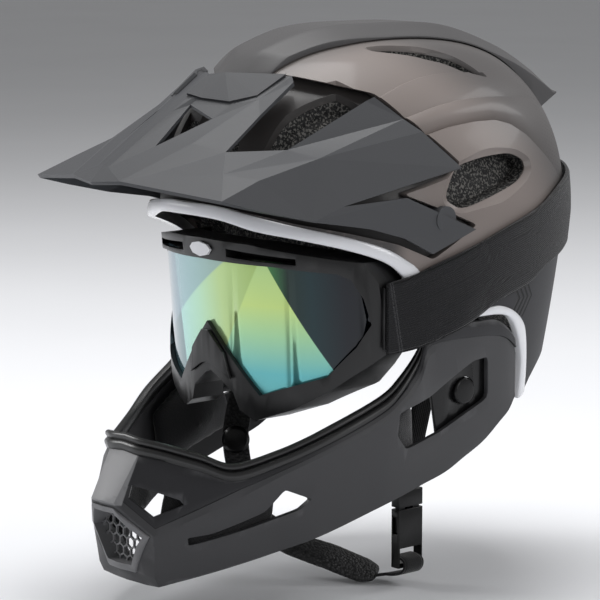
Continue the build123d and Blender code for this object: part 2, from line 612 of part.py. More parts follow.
def chin_grid(inset, first_row=0, last_row=3, row_shift=0.0, last_column=15):
    """Points of the chin guard's skin from the right rear to the left rear, inset from outside."""
    columns = [[place(point) for point in column] for column in CHIN_SHARES]
    count = len(columns)
    moved = []
    for i, column in enumerate(columns):
        before = columns[i - 1] if i > 0 else [Vector(-p.X, p.Y, p.Z) for p in columns[1]]
        after = columns[i + 1] if i < count - 1 else column
        before = before if i < count - 1 else columns[i - 1]
        row = []
        for j, point in enumerate(column):
            along = after[j] - before[j]
            below = column[min(j + 1, 3)] - column[max(j - 1, 0)]
            normal = along.cross(below).normalized()
            if normal.Y > 0 and i < 5 or normal.X < 0 and i >= 5:
                normal = normal * -1
            if i == 0:
                normal = Vector(0, normal.Y, normal.Z).normalized()
            row.append(point - normal * inset)
        span = row[last_row] - row[first_row]
        row[first_row] = row[first_row] + span * row_shift
        row[last_row] = row[last_row] - span * row_shift
        moved.append(row[first_row:last_row + 1])
    moved = moved[:last_column + 1]
    right = [[Vector(-p.X, p.Y, p.Z) for p in column] for column in moved[:0:-1]]
    return right + moved


chin_body = skin_solid(chin_grid(0.0), chin_grid(CHIN_WALL))
CHIN_SLOT_SHARES = [
    (-1.219, -1.595), (-1.226, -1.550), (-1.146, -1.528), (-0.964, -1.420), (-0.898, -1.303),
    (-0.781, -1.367), (-0.825, -1.423),
]
CHIN_HOLE_SHARES = [
    (-0.424, -0.939), (-0.412, -1.073), (-0.343, -1.160), (-0.142, -1.096), (0.117, -0.950),
    (0.073, -0.711), (-0.012, -0.720), (-0.231, -0.881),
]
NOSE_OPENING_SHARES = [(0.088, -1.400), (0.245, -1.545), (0.112, -1.765)]
NOSE_WINDOW_SHARES = [(0.080, -1.432), (0.214, -1.552), (0.098, -1.722)]


def nose_prism(shares, front_y, rear_y):
    """Six sided prism along Y through the nose of the chin guard."""
    left = [(x * SHELL_HALF_WIDTH, z * CROWN_HEIGHT) for x, z in shares]
    points = left + [(-x, z) for x, z in left[::-1]]
    plane = Plane(origin=(0, rear_y, 0), x_dir=(1, 0, 0), z_dir=(0, -1, 0))
    return extrude(plane * make_face(Polyline(*points, close=True)), amount=rear_y - front_y)


NOSE_FRONT_Y = CHIN_SHARES[0][1][1] * SHELL_HALF_LENGTH
NOSE_REAR_Y = NOSE_FRONT_Y + SHELL_HALF_LENGTH / 4
chin_cut = nose_prism(NOSE_OPENING_SHARES, NOSE_FRONT_Y - OVERRUN, NOSE_REAR_Y)
INSET_PLACE_SHARES = (0.248, -1.328, -1.376)
INSET_ALONG = (0.73, 0.68, 0)
INSET_OUTWARD = (0.68, -0.73, 0)
inset_plane = Plane(origin=tuple(place(INSET_PLACE_SHARES)), x_dir=INSET_ALONG, z_dir=INSET_OUTWARD)
INSET_SHARES = [(-0.116, 0.092), (-0.130, 0.028), (0.000, -0.069), (0.165, 0.002), (0.142, 0.027)]
inset_points = [(u * SHELL_HALF_WIDTH, v * CROWN_HEIGHT) for u, v in INSET_SHARES]
inset_vent = extrude(
    inset_plane * make_face(Polyline(*inset_points, close=True)), amount=OVERRUN / 2, both=True)
chin_body = chin_body - chin_cut - side_prism(CHIN_SLOT_SHARES) - side_prism(CHIN_HOLE_SHARES)
chin_body = chin_body - inset_vent - mirror(inset_vent, Plane.YZ)
LUG_LENGTH = 17.0
LUG_HEIGHT = 10.0
LUG_INNER_X = SHELL_HALF_WIDTH * 0.908
LUG_OUTER_X = SHELL_HALF_WIDTH * 0.954
LUG_TOP_Z = -CROWN_HEIGHT * 0.484
lug = Pos((LUG_INNER_X + LUG_OUTER_X) / 2, 0, LUG_TOP_Z - LUG_HEIGHT / 2) * Box(
    LUG_OUTER_X - LUG_INNER_X, LUG_LENGTH, LUG_HEIGHT)
chin_body = chin_body + lug + mirror(lug, Plane.YZ)
save("chin_guard", chin_body)

# Bezel that lines the air intake, and the honeycomb net behind it
shrink = 1 - FIT_GAP / (NOSE_OPENING_SHARES[1][0] * SHELL_HALF_WIDTH)
nose_mid_z = sum(z for x, z in NOSE_OPENING_SHARES) / 3
bezel_shares = [(x * shrink, nose_mid_z + (z - nose_mid_z) * shrink) for x, z in NOSE_OPENING_SHARES]
bezel = nose_prism(bezel_shares, NOSE_FRONT_Y - BEZEL_PROUD, NOSE_FRONT_Y + BEZEL_DEPTH + BEZEL_DEPTH)
bezel = bezel - nose_prism(NOSE_WINDOW_SHARES, NOSE_FRONT_Y - OVERRUN, NOSE_REAR_Y + OVERRUN)
bezel_front = skin_solid(chin_grid(-BEZEL_PROUD, 1, 3)[13:18], chin_grid(BEZEL_DEPTH, 1, 3)[13:18])
bezel = bezel & bezel_front
save("intake_bezel", bezel)
net_y = NOSE_FRONT_Y + BEZEL_DEPTH + CHIN_WALL
net = nose_prism(NOSE_WINDOW_SHARES, net_y, net_y + NET_THICKNESS)
net_mid_z = nose_mid_z * CROWN_HEIGHT
net_plane = Plane(origin=(0, net_y + OVERRUN / 2, net_mid_z), x_dir=(1, 0, 0), z_dir=(0, -1, 0))
holes = []
row_pitch = NET_PITCH * sqrt(3) / 2
for row in range(-4, 5):
    for column in range(-4, 5):
        u = column * NET_PITCH + (NET_PITCH / 2 if row % 2 else 0)
        v = row * row_pitch
        holes.append(Pos(u, v) * RegularPolygon((NET_PITCH - NET_WEB) / 2, 6, False, 30))
net = net - extrude(net_plane * Sketch(holes), amount=OVERRUN)
save("intake_net", max(net.solids(), key=lambda s: s.volume))

# Double bead of rubber along the rim of the chin guard
RIM_SECTION_SHARES = [
    (0.03, -0.95), (0.03, 0.35), (0.22, 0.65), (0.42, 0.50), (0.52, 0.15), (0.62, 0.50),
    (0.84, 0.65), (1.00, 0.25), (1.00, -0.70), (0.55, -1.20),
]


def rim_bead():
    grid = chin_grid(0.0)
    inner = chin_grid(CHIN_WALL)
    rings = []
    for column, behind in list(zip(grid, inner))[5:-5]:
        outward = (column[0] - behind[0]).normalized()
        upward = (column[0] - column[1]).normalized()
        upward = (upward + Vector(0, 0, 1)).normalized()
        rings.append([
            column[0] + upward * (up * RIM_HEIGHT) + outward * (out * RIM_HALF_THICKNESS)
            for up, out in RIM_SECTION_SHARES
        ])
    return tube_solid(rings)


save("rim_bead", rim_bead())

# Foam pads inside the front of the chin guard, one on each side of the air intake
CHIN_FOAM_COLUMNS = slice(17, 21)
foam_outer = chin_grid(CHIN_WALL + FIT_GAP, 0, 3, 0.16)[CHIN_FOAM_COLUMNS]
foam_inner = chin_grid(CHIN_WALL + FIT_GAP + CHIN_FOAM_THICKNESS, 0, 3, 0.16)[CHIN_FOAM_COLUMNS]
chin_foam = skin_solid(foam_outer, foam_inner)
chin_foam = chin_foam - nose_prism(NOSE_OPENING_SHARES, NOSE_FRONT_Y - OVERRUN, NOSE_REAR_Y + OVERRUN)
guard_envelope = skin_solid(chin_grid(-CHIN_WALL), chin_grid(CHIN_WALL + FIT_GAP))
save("chin_foam", chin_foam, mirror(chin_foam, Plane.YZ) - guard_envelope)

# Cheek pads inside the sides of the chin guard, with crowned inner faces
CHEEK_COLUMN_SHARES = [0.4, 1.0, 0.9, 0.45]
CHEEK_ROW_SHARES = [(0.06, 0.35), (0.30, 0.95), (0.60, 1.0), (0.90, 0.4)]
CHEEK_FIRST_COLUMN = 21


def cheek_pad():
    edge = chin_grid(SHELL_WALL, 1, 2)
    deep = chin_grid(SHELL_WALL + CHEEK_THICKNESS, 1, 2)
    outer = []
    inner = []
    for i, column_full in enumerate(CHEEK_COLUMN_SHARES):
        column = edge[CHEEK_FIRST_COLUMN + i]
        behind = deep[CHEEK_FIRST_COLUMN + i]
        outer_row = []
        inner_row = []
        for down, row_full in CHEEK_ROW_SHARES:
            start = column[0] + (column[1] - column[0]) * down
            end = behind[0] + (behind[1] - behind[0]) * down
            outer_row.append(start)
            inner_row.append(start + (end - start) * (column_full * row_full))
        outer.append(outer_row)
        inner.append(inner_row)
    return skin_solid(outer, inner)


cheek = cheek_pad()
save("cheek_pad_left", cheek - guard_envelope)
save("cheek_pad_right", mirror(cheek, Plane.YZ) - guard_envelope)

# Release latches, a plate behind each rear opening of the chin guard and a button through it
LATCH_PLATE_THICKNESS = 2.2
LATCH_RADIUS = 8.0
LATCH_Y = -3.0
LATCH_Z = -CROWN_HEIGHT * 0.89
LATCH_OUTER_X = SHELL_HALF_WIDTH * 0.881
LATCH_INNER_X = SHELL_HALF_WIDTH * 0.789
LATCH_FLANGE = 2.0


def latch_cylinder(radius, inner_x, outer_x):
    plane = Plane(origin=(inner_x, LATCH_Y, LATCH_Z), x_dir=(0, 1, 0), z_dir=(1, 0, 0))
    return extrude(plane * Circle(radius), amount=outer_x - inner_x)


latch_plate = skin_solid(
    chin_grid(CHIN_WALL + FIT_GAP, 1, 2)[-6:-1],
    chin_grid(CHIN_WALL + FIT_GAP + LATCH_PLATE_THICKNESS, 1, 2)[-6:-1])
latch_plate = latch_plate - latch_cylinder(LATCH_RADIUS + FIT_GAP, LATCH_INNER_X - OVERRUN, SHELL_HALF_WIDTH)
latch_button = latch_cylinder(LATCH_RADIUS, LATCH_INNER_X, LATCH_OUTER_X)
latch_button = chamfer(latch_button.faces().sort_by(Axis.X)[-1].edges(), LATCH_FLANGE / 2)
latch_button = latch_button + latch_cylinder(
    LATCH_RADIUS + LATCH_FLANGE, LATCH_INNER_X - LATCH_FLANGE, LATCH_INNER_X)
save("latch_plate_left", latch_plate)
save("latch_plate_right", mirror(latch_plate, Plane.YZ) - guard_envelope)
save("latch_button_left", latch_button)
save("latch_button_right", mirror(latch_button, Plane.YZ))

# Goggles, cut from tilted cylinders by outlines seen from the front, x and z in shares
LENS_SHARES = [
    (0.000, -0.500), (0.161, -0.679), (0.330, -0.872), (0.404, -0.844), (0.661, -0.748),
    (0.775, -0.587), (0.826, -0.468), (0.807, -0.330), (0.771, -0.229), (0.725, -0.197),
    (0.450, -0.170), (0.000, -0.161),
]
FRAME_SHARES = [
    (0.000, -0.771), (0.046, -0.789), (0.163, -0.875), (0.198, -0.963), (0.284, -1.009),
    (0.312, -1.006), (0.505, -0.932), (0.674, -0.821), (0.804, -0.697), (0.867, -0.624),
    (0.867, -0.541), (0.853, -0.248), (0.811, -0.139), (0.633, -0.106), (0.321, -0.059),
    (0.000, -0.049),
]
NOSE_GUARD_SHARES = [(0.028, -0.545), (0.128, -0.655), (0.165, -0.800), (0.050, -0.735), (0.0, -0.725)]
FRAME_VENT_SHARES = [(0.180, -0.092), (0.180, -0.136), (0.560, -0.156), (0.560, -0.122)]
TAB_SHARES = [(0.000, -0.068), (0.060, -0.080), (0.085, -0.105), (0.060, -0.135), (0.000, -0.148)]


def face_prism(shares, margin=0.0):
    """Prism along Y in front of the face over half an outline, mirrored and grown by a margin."""
    right = [(-x, z) for x, z in shares[::-1] if x > 0]
    closed = list(shares) + right
    points = [(x * SHELL_HALF_WIDTH, z * CROWN_HEIGHT) for x, z in closed]
    outline = make_face(Polyline(*moved_out(points, margin), close=True))
    plane = Plane(origin=(0, FRAME_REAR_Y, 0), x_dir=(1, 0, 0), z_dir=(0, -1, 0))
    return extrude(plane * outline, amount=SHELL_HALF_LENGTH)


def tilted_cylinder(radius):
    upright = Pos(0, GOGGLE_AXIS_Y, GOGGLE_AXIS_Z) * Cylinder(radius, SHELL_DEPTH * 3)
    return upright.rotate(Axis((0, GOGGLE_AXIS_Y, GOGGLE_AXIS_Z), (1, 0, 0)), GOGGLE_TILT)


def curved_plate(outline, outer_radius, inner_radius):
    return (outline & tilted_cylinder(outer_radius)) - tilted_cylinder(inner_radius)


def vent_prisms(shares):
    """Prisms along Y for one outline on each side of the middle."""
    points = [(x * SHELL_HALF_WIDTH, z * CROWN_HEIGHT) for x, z in shares]
    plane = Plane(origin=(0, FRAME_REAR_Y, 0), x_dir=(1, 0, 0), z_dir=(0, -1, 0))
    one = extrude(plane * make_face(Polyline(*points, close=True)), amount=SHELL_HALF_LENGTH)
    return one + mirror(one, Plane.YZ)


lens_window = face_prism(LENS_SHARES)
lens_blank = face_prism(LENS_SHARES, FRAME_LIP)
lens = curved_plate(lens_blank, LENS_RADIUS, LENS_RADIUS - LENS_THICKNESS)
save("goggle_lens", lens)
frame_blank = face_prism(FRAME_SHARES)
lens_groove = curved_plate(
    face_prism(LENS_SHARES, FRAME_LIP + FIT_GAP), LENS_RADIUS + FIT_GAP,
    LENS_RADIUS - LENS_THICKNESS - FIT_GAP)
frame_vents = vent_prisms(FRAME_VENT_SHARES)
frame_shape = curved_plate(frame_blank, FRAME_RADIUS, FRAME_INNER_RADIUS)
frame_shape = frame_shape - lens_window - lens_groove - frame_vents
save("goggle_frame", max(frame_shape.solids(), key=lambda part: part.volume))
face_foam = curved_plate(
    face_prism(FRAME_SHARES, -FACE_FOAM_INSET), FRAME_INNER_RADIUS - FIT_GAP,
    FRAME_INNER_RADIUS - FACE_FOAM_THICKNESS)
foam_window = face_prism([(x * FOAM_WINDOW_SHARE, z) for x, z in LENS_SHARES])
face_foam = face_foam - foam_window
save("goggle_face_foam", max(face_foam.solids(), key=lambda part: part.volume))
VENT_FOAM_RADIUS = (FRAME_RADIUS + FRAME_INNER_RADIUS) / 2
VENT_FOAM_SHARES = [(0.184, -0.096), (0.184, -0.132), (0.556, -0.152), (0.556, -0.126)]
vent_foam = curved_plate(
    vent_prisms(VENT_FOAM_SHARES), VENT_FOAM_RADIUS, VENT_FOAM_RADIUS - TAB_THICKNESS)
save("goggle_vent_foam", vent_foam)
nose_guard = curved_plate(
    face_prism(NOSE_GUARD_SHARES), FRAME_RADIUS + FIT_GAP + NOSE_GUARD_THICKNESS,
    FRAME_RADIUS + FIT_GAP)
save("nose_guard", nose_guard)
lens_tab = curved_plate(
    face_prism(TAB_SHARES), FRAME_RADIUS + FIT_GAP + TAB_THICKNESS, FRAME_RADIUS + FIT_GAP)
save("lens_tab", lens_tab)

# Goggle strap, a flat elastic band round the outside of the shell, and its plates at the frame
STRAP_FRONT_SHARES = [
    (0.885, -0.489, -0.248, -0.624), (0.927, -0.372, -0.211, -0.606), (0.962, -0.263, -0.156, -0.569),
    (0.989, -0.131, -0.101, -0.514),
]
STRAP_TOP_SHARES = [(0.0, -0.046), (0.124, 0.006), (0.358, 0.083), (0.591, 0.174), (1.02, 0.257)]
STRAP_LOW_SHARES = [(0.0, -0.450), (0.095, -0.394), (0.299, -0.336), (0.474, -0.248), (1.02, -0.138)]
STRAP_ANGLES = 10
STRAP_ROWS = 4


def goggle_strap(standoff):
    """Points of the strap's surface at a standoff from the shell, right to left round the rear."""
    columns = []
    for x, y, top, low in STRAP_FRONT_SHARES:
        column = []
        for row in range(STRAP_ROWS):
            z = (top + (low - top) * row / (STRAP_ROWS - 1)) * CROWN_HEIGHT
            place_y = y * SHELL_HALF_LENGTH
            inner_x = max(x * SHELL_HALF_WIDTH, half_width_at(place_y, z) + STRAP_STANDOFF)
            column.append(Vector(inner_x + standoff - STRAP_STANDOFF, place_y, z))
        columns.append(column)
    for i in range(STRAP_ANGLES + 1):
        angle = radians(90 * i / STRAP_ANGLES)
        column = []
        for row in range(STRAP_ROWS):
            y = SHELL_HALF_LENGTH * sin(angle)
            top = along(STRAP_TOP_SHARES, y)
            low = along(STRAP_LOW_SHARES, y)
            z = top + (low - top) * row / (STRAP_ROWS - 1)
            half_width, half_length = head_section(z, -standoff)
            column.append(Vector(half_width * cos(angle), half_length * sin(angle), z))
        columns.append(column)
    right = [[Vector(-p.X, p.Y, p.Z) for p in column] for column in columns[:-1]]
    return right + columns[::-1]


strap = skin_solid(goggle_strap(STRAP_STANDOFF + STRAP_THICKNESS), goggle_strap(STRAP_STANDOFF))
save("goggle_strap", strap)
OUTRIGGER_SHARES = [
    (0.870, -0.380), (0.881, -0.380), (0.881, -0.496), (0.906, -0.505), (0.902, -0.535),
    (0.830, -0.595), (0.790, -0.620), (0.790, -0.560), (0.870, -0.520),
]
outrigger_points = [(x * SHELL_HALF_WIDTH, y * SHELL_HALF_LENGTH) for x, y in OUTRIGGER_SHARES]
OUTRIGGER_LOW = -0.60 * CROWN_HEIGHT
OUTRIGGER_HIGH = -0.27 * CROWN_HEIGHT
outrigger = extrude(
    Plane.XY.offset(OUTRIGGER_LOW) * make_face(Polyline(*outrigger_points, close=True)),
    amount=OUTRIGGER_HIGH - OUTRIGGER_LOW)
outrigger = outrigger - tilted_cylinder(FRAME_RADIUS + FIT_GAP)
outrigger = max(outrigger.solids(), key=lambda part: part.volume)
save("outrigger_left", outrigger)
save("outrigger_right", mirror(outrigger, Plane.YZ))


# Ribbons of webbing along a path of points
def ribbon(path, widths, width, thickness):
    """Closed solid of a flat band along points, each with its own direction of width."""
    points = [Vector(*point) for point in path]
    rings = []
    for i, point in enumerate(points):
        before = points[max(i - 1, 0)]
        after = points[min(i + 1, len(points) - 1)]
        tangent = (after - before).normalized()
        side = Vector(*widths[i])
        side = (side - tangent * side.dot(tangent)).normalized()
        up = side.cross(tangent).normalized()
        half = side * (width / 2)
        lift = up * (thickness / 2)
        rings.append([point + half + lift, point - half + lift, point - half - lift, point + half - lift])
    return tube_solid(rings)


# Chin strap, its anchors, its studs and its padded sleeve
ACROSS = (0.0, 1.0, 0.0)
WEB_TOP_X = ANCHOR_X - WEB_THICKNESS / 2 - FIT_GAP
NEAR_WEB_SHARES = [
    (0.0, -0.102, -0.385), (-0.002, -0.102, -0.530), (-0.100, -0.109, -0.830),
    (-0.190, -0.112, -1.150), (-0.255, -0.113, -1.430),
]
BUCKLE_X = SHELL_HALF_WIDTH * 0.55
BUCKLE_Y = -15.5
PLUG_LOW_Z = -170.0
near_path = [
    (WEB_TOP_X + x * SHELL_HALF_WIDTH, y * SHELL_HALF_LENGTH, z * CROWN_HEIGHT)
    for x, y, z in NEAR_WEB_SHARES
]
plug_top = PLUG_LOW_Z + PLUG_HEIGHT
near_path[-1] = (BUCKLE_X, BUCKLE_Y, plug_top + FIT_GAP)
near_path.insert(-1, (BUCKLE_X + WEB_THICKNESS / 2, BUCKLE_Y, plug_top + PLUG_HEIGHT))
near_web = ribbon(near_path, [ACROSS] * len(near_path), WEB_WIDTH, WEB_THICKNESS)
save("chin_web_left", near_web)
FAR_WEB_SHARES = [
    (-0.700, -0.175, -0.820), (-0.550, -0.328, -1.119), (-0.459, -0.416, -1.300),
    (-0.367, -0.438, -1.514), (-0.272, -0.424, -1.682),
]
far_path = [(-p[0], p[1], p[2]) for p in near_path[:2]]
far_path += [tuple(place(point)) for point in FAR_WEB_SHARES]
far_widths = [ACROSS, ACROSS, (0.2, 1, 0), (0.45, 0.9, 0), (0.6, 0.8, 0), (0.4, 0.9, 0), (0.3, 1, 0)]
far_web = ribbon(far_path, far_widths, WEB_WIDTH, WEB_THICKNESS)
save("chin_web_right", far_web)
SLEEVE_SHARES = [
    (-0.250, -0.415, -1.722, 0.70), (-0.200, -0.400, -1.775, 1.0), (0.0, -0.375, -1.835, 1.0),
    (0.170, -0.290, -1.890, 1.0), (0.330, -0.195, -1.960, 0.95), (0.385, -0.165, -1.972, 0.7),
]


def chin_sleeve():
    points = [place(share[:3]) for share in SLEEVE_SHARES]
    rings = []
    for i, point in enumerate(points):
        before = points[max(i - 1, 0)]
        after = points[min(i + 1, len(points) - 1)]
        tangent = (after - before).normalized()
        side = (Vector(0.25, 1, 0) - tangent * Vector(0.25, 1, 0).dot(tangent)).normalized()
        up = side.cross(tangent).normalized()
        wide = SLEEVE_WIDTH / 2 * SLEEVE_SHARES[i][3]
        high = SLEEVE_THICKNESS / 2 * SLEEVE_SHARES[i][3]
        ring = []
        for corner in range(12):
            angle = radians(30 * corner + 15)
            ring.append(point + side * (wide * cos(angle)) + up * (high * sin(angle)))
        rings.append(ring)
    return tube_solid(rings)


save("chin_sleeve", chin_sleeve())
LOOP_WEB_SHARES = [
    (0.392, -0.160, -1.975), (0.450, -0.130, -1.960), (0.520, -0.115, -1.945),
    (0.575, -0.113, -1.926), (0.602, -0.113, -1.895), (0.600, -0.113, -1.862), (0.565, -0.113, -1.846),
    (0.510, -0.113, -1.846),
]
loop_path = [tuple(place(point)) for point in LOOP_WEB_SHARES]
loop_web = ribbon(loop_path, [(0.2, 1, 0)] * 2 + [ACROSS] * 6, WEB_WIDTH, WEB_THICKNESS)
save("chin_web_lower", loop_web)


def plate_with_rivet():
    plate = Pos(ANCHOR_X + ANCHOR_THICKNESS / 2, ANCHOR_Y, ANCHOR_Z) * Box(
        ANCHOR_THICKNESS, ANCHOR_WIDTH, ANCHOR_HEIGHT)
    rivet_reach = half_width_at(ANCHOR_Y, ANCHOR_Z + ANCHOR_HEIGHT / 4, SHELL_WALL) - FIT_GAP * 2
    rivet = extrude(rivet_plane * Circle(ANCHOR_RIVET_RADIUS), amount=rivet_reach - ANCHOR_X)
    return plate + rivet


anchor = plate_with_rivet()
save("strap_anchor_left", anchor)
save("strap_anchor_right", mirror(anchor, Plane.YZ))


def strap_stud(point, normal):
    """Domed snap stud seated on the outside of a web."""
    direction = Vector(*normal).normalized()
    start = Vector(*point) + direction * (WEB_THICKNESS / 2 + FIT_GAP * 4)
    plane = Plane(origin=tuple(start), z_dir=tuple(direction))
    stud = extrude(plane * Circle(STRAP_STUD_RADIUS), amount=STRAP_STUD_THICKNESS)
    top_edges = stud.edges().filter_by(GeomType.CIRCLE).sort_by(lambda e: (e.center() - start).length)
    return chamfer(top_edges[-1], STRAP_STUD_THICKNESS * 0.45)


far_stud_normal = (0.78, -0.60, 0.15)
web_clear = ribbon(far_path, far_widths, WEB_WIDTH, WEB_THICKNESS + FIT_GAP * 2)
save("strap_stud", strap_stud(far_path[4], far_stud_normal) - web_clear)

# Buckle, a side release pair: a socket with a cavity and side windows, and the plug in it
BUCKLE_GAP = 1.4
SOCKET_TOP_Z = PLUG_LOW_Z - BUCKLE_GAP
SOCKET_LOW_Z = SOCKET_TOP_Z - SOCKET_HEIGHT
LOOP_HEIGHT = 9.0
LOOP_BAR = 3.0
CAVITY_FLOOR_Z = SOCKET_LOW_Z + LOOP_BAR + LOOP_HEIGHT + BUCKLE_WALL
GUIDE_HALF_WIDTH = 1.8
PRONG_HALF_HEIGHT = 5.0


def buckle_block(y_low, y_high, z_low, z_high, thickness):
    """Block across the buckle, its y measured from the buckle's middle."""
    middle = Pos(BUCKLE_X, BUCKLE_Y + (y_low + y_high) / 2, (z_low + z_high) / 2)
    return middle * Box(thickness, y_high - y_low, z_high - z_low)


half_buckle = BUCKLE_WIDTH / 2
cavity_half = half_buckle - BUCKLE_WALL
cavity_thickness = BUCKLE_THICKNESS - BUCKLE_WALL * 2
socket = buckle_block(-half_buckle, half_buckle, SOCKET_LOW_Z, SOCKET_TOP_Z, BUCKLE_THICKNESS)
socket = chamfer(socket.edges().filter_by(Axis.Z), BUCKLE_WALL / 2)
socket = socket - buckle_block(-cavity_half, cavity_half, CAVITY_FLOOR_Z, SOCKET_TOP_Z + FIT_GAP, cavity_thickness)
loop_low = SOCKET_LOW_Z + LOOP_BAR
socket = socket - buckle_block(
    -cavity_half, cavity_half, loop_low, loop_low + LOOP_HEIGHT, BUCKLE_THICKNESS * 2)
window_low = SOCKET_TOP_Z - PRONG_HALF_HEIGHT * 3
window_high = SOCKET_TOP_Z - PRONG_HALF_HEIGHT
socket = socket - buckle_block(
    -half_buckle * 1.1, half_buckle * 1.1, window_low, window_high, cavity_thickness)
save("buckle_socket", socket)
plug = buckle_block(-half_buckle, half_buckle, PLUG_LOW_Z, plug_top, BUCKLE_THICKNESS)
plug = chamfer(plug.edges().filter_by(Axis.Z), BUCKLE_WALL / 2)
plug = plug + buckle_block(
    -GUIDE_HALF_WIDTH, GUIDE_HALF_WIDTH, CAVITY_FLOOR_Z + FIT_GAP, PLUG_LOW_Z, cavity_thickness - FIT_GAP * 2)
save("buckle_plug", plug)
prong_inner = GUIDE_HALF_WIDTH + FIT_GAP + PRONG_TRAVEL
prong_outer = cavity_half - FIT_GAP
prong_high = PLUG_LOW_Z - FIT_GAP
prong = buckle_block(
    prong_inner, prong_outer, window_low + FIT_GAP, prong_high, cavity_thickness - FIT_GAP * 2)
save("buckle_prong_rear", prong)
save("buckle_prong_front", prong.moved(Location((0, -(prong_inner + prong_outer), 0))))

# Fit system inside the nape: a band, a housing, and a dial that draws the band in
BAND_ANGLES = 8
BAND_START_ANGLE = 22.0


def band_points(extra):
    columns = []
    for i in range(2 * BAND_ANGLES + 1):
        angle = radians(BAND_START_ANGLE + (180 - 2 * BAND_START_ANGLE) * i / (2 * BAND_ANGLES))
        column = []
        for side in (0.5, -0.5):
            z = DIAL_Z + side * BAND_WIDTH
            half_width, half_length = head_section(DIAL_Z, BAND_INSET - extra)
            column.append(Vector(half_width * cos(angle), half_length * sin(angle), z))
        columns.append(column)
    return columns[::-1]


band = skin_solid(band_points(0.0), band_points(-BAND_THICKNESS))
save("fit_band", band)
RUNNER_LENGTH = 16.0
RUNNER_START_Y = 36.0
band_shadow = Plane.XY.offset(DIAL_Z - BAND_WIDTH) * Ellipse(*head_section(DIAL_Z, BAND_INSET - FIT_GAP))
runner_block = Pos(SHELL_HALF_WIDTH * 0.6, RUNNER_START_Y + RUNNER_LENGTH / 2, DIAL_Z) * Box(
    SHELL_HALF_WIDTH, RUNNER_LENGTH, BAND_WIDTH * 0.7)
runner = (runner_block & head_form(LINER_INSET + FIT_GAP)) - extrude(band_shadow, amount=BAND_WIDTH * 2)
save("band_runner_left", runner)
save("band_runner_right", mirror(runner, Plane.YZ))
housing_y = band_rear_y + FIT_GAP * 2 + HOUSING_THICKNESS / 2
housing = Pos(0, housing_y, DIAL_Z) * Box(HOUSING_WIDTH, HOUSING_THICKNESS, HOUSING_HEIGHT)
housing = chamfer(housing.edges().filter_by(Axis.Y), HOUSING_THICKNESS * 0.8)
dial_start_y = housing_y + HOUSING_THICKNESS / 2 + FIT_GAP
SPINDLE_RADIUS = 3.0
spindle_plane = Plane(origin=(0, dial_start_y - FIT_GAP, DIAL_Z), x_dir=(1, 0, 0), z_dir=(0, 1, 0))
spindle = extrude(spindle_plane * Circle(SPINDLE_RADIUS), amount=DIAL_THICKNESS * 0.7)
save("fit_housing", housing + spindle)
dial_plane = Plane(origin=(0, dial_start_y, DIAL_Z), x_dir=(1, 0, 0), z_dir=(0, 1, 0))
dial = extrude(dial_plane * Circle(DIAL_RADIUS), amount=DIAL_THICKNESS)
dial = dial - extrude(
    dial_plane * Circle(SPINDLE_RADIUS + PIVOT_RUNNING_GAP), amount=DIAL_THICKNESS * 0.7 + FIT_GAP)
GRIP_RADIUS = 1.2
GRIP_COUNT = 16
for i in range(GRIP_COUNT):
    angle = radians(360 * i / GRIP_COUNT)
    spot = Pos(DIAL_RADIUS * cos(angle), DIAL_RADIUS * sin(angle))
    dial = dial - extrude(dial_plane * (spot * Circle(GRIP_RADIUS)), amount=DIAL_THICKNESS)
save("fit_dial", dial)
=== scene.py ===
from functools import partialmethod
from math import cos, pi, radians, sin

import bpy
import numpy as np
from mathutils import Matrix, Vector


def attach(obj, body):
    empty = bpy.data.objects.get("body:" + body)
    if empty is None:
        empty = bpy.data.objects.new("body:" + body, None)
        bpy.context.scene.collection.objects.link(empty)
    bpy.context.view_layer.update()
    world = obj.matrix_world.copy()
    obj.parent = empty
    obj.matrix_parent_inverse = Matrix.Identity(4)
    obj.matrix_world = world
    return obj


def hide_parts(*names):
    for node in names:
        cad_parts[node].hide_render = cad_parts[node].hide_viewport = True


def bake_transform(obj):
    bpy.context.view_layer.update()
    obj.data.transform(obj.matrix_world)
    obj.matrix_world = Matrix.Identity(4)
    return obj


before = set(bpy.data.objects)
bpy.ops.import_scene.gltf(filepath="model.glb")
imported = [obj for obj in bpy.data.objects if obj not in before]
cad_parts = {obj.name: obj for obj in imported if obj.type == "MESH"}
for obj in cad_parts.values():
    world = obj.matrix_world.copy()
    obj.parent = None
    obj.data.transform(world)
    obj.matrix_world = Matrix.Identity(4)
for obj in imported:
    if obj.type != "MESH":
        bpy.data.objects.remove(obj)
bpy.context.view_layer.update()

# Full face downhill helmet with its goggles on.
# It faces -Y, +X is the wearer's left, +Z is up, in metres, and the origin is the middle of the head.

# Camera
# It stands at the photograph's angle, ahead of the helmet and to the wearer's left, a little above.
CAMERA_PLACE = Vector((1.2402, -1.1261, 0.2146))
CAMERA_TARGET = Vector((0.0, -0.048, -0.050))
CAMERA_LENS = 166.95


def aim(thing, place, target):
    thing.rotation_euler = (Vector(target) - Vector(place)).to_track_quat("-Z", "Y").to_euler()


bpy.ops.object.select_all(action="DESELECT")
bpy.ops.object.camera_add(location=CAMERA_PLACE)
camera = bpy.context.object
aim(camera, CAMERA_PLACE, CAMERA_TARGET)
camera.data.sensor_width = 36
camera.data.lens = CAMERA_LENS
bpy.context.scene.camera = camera
bpy.context.scene.view_settings.view_transform = "Standard"


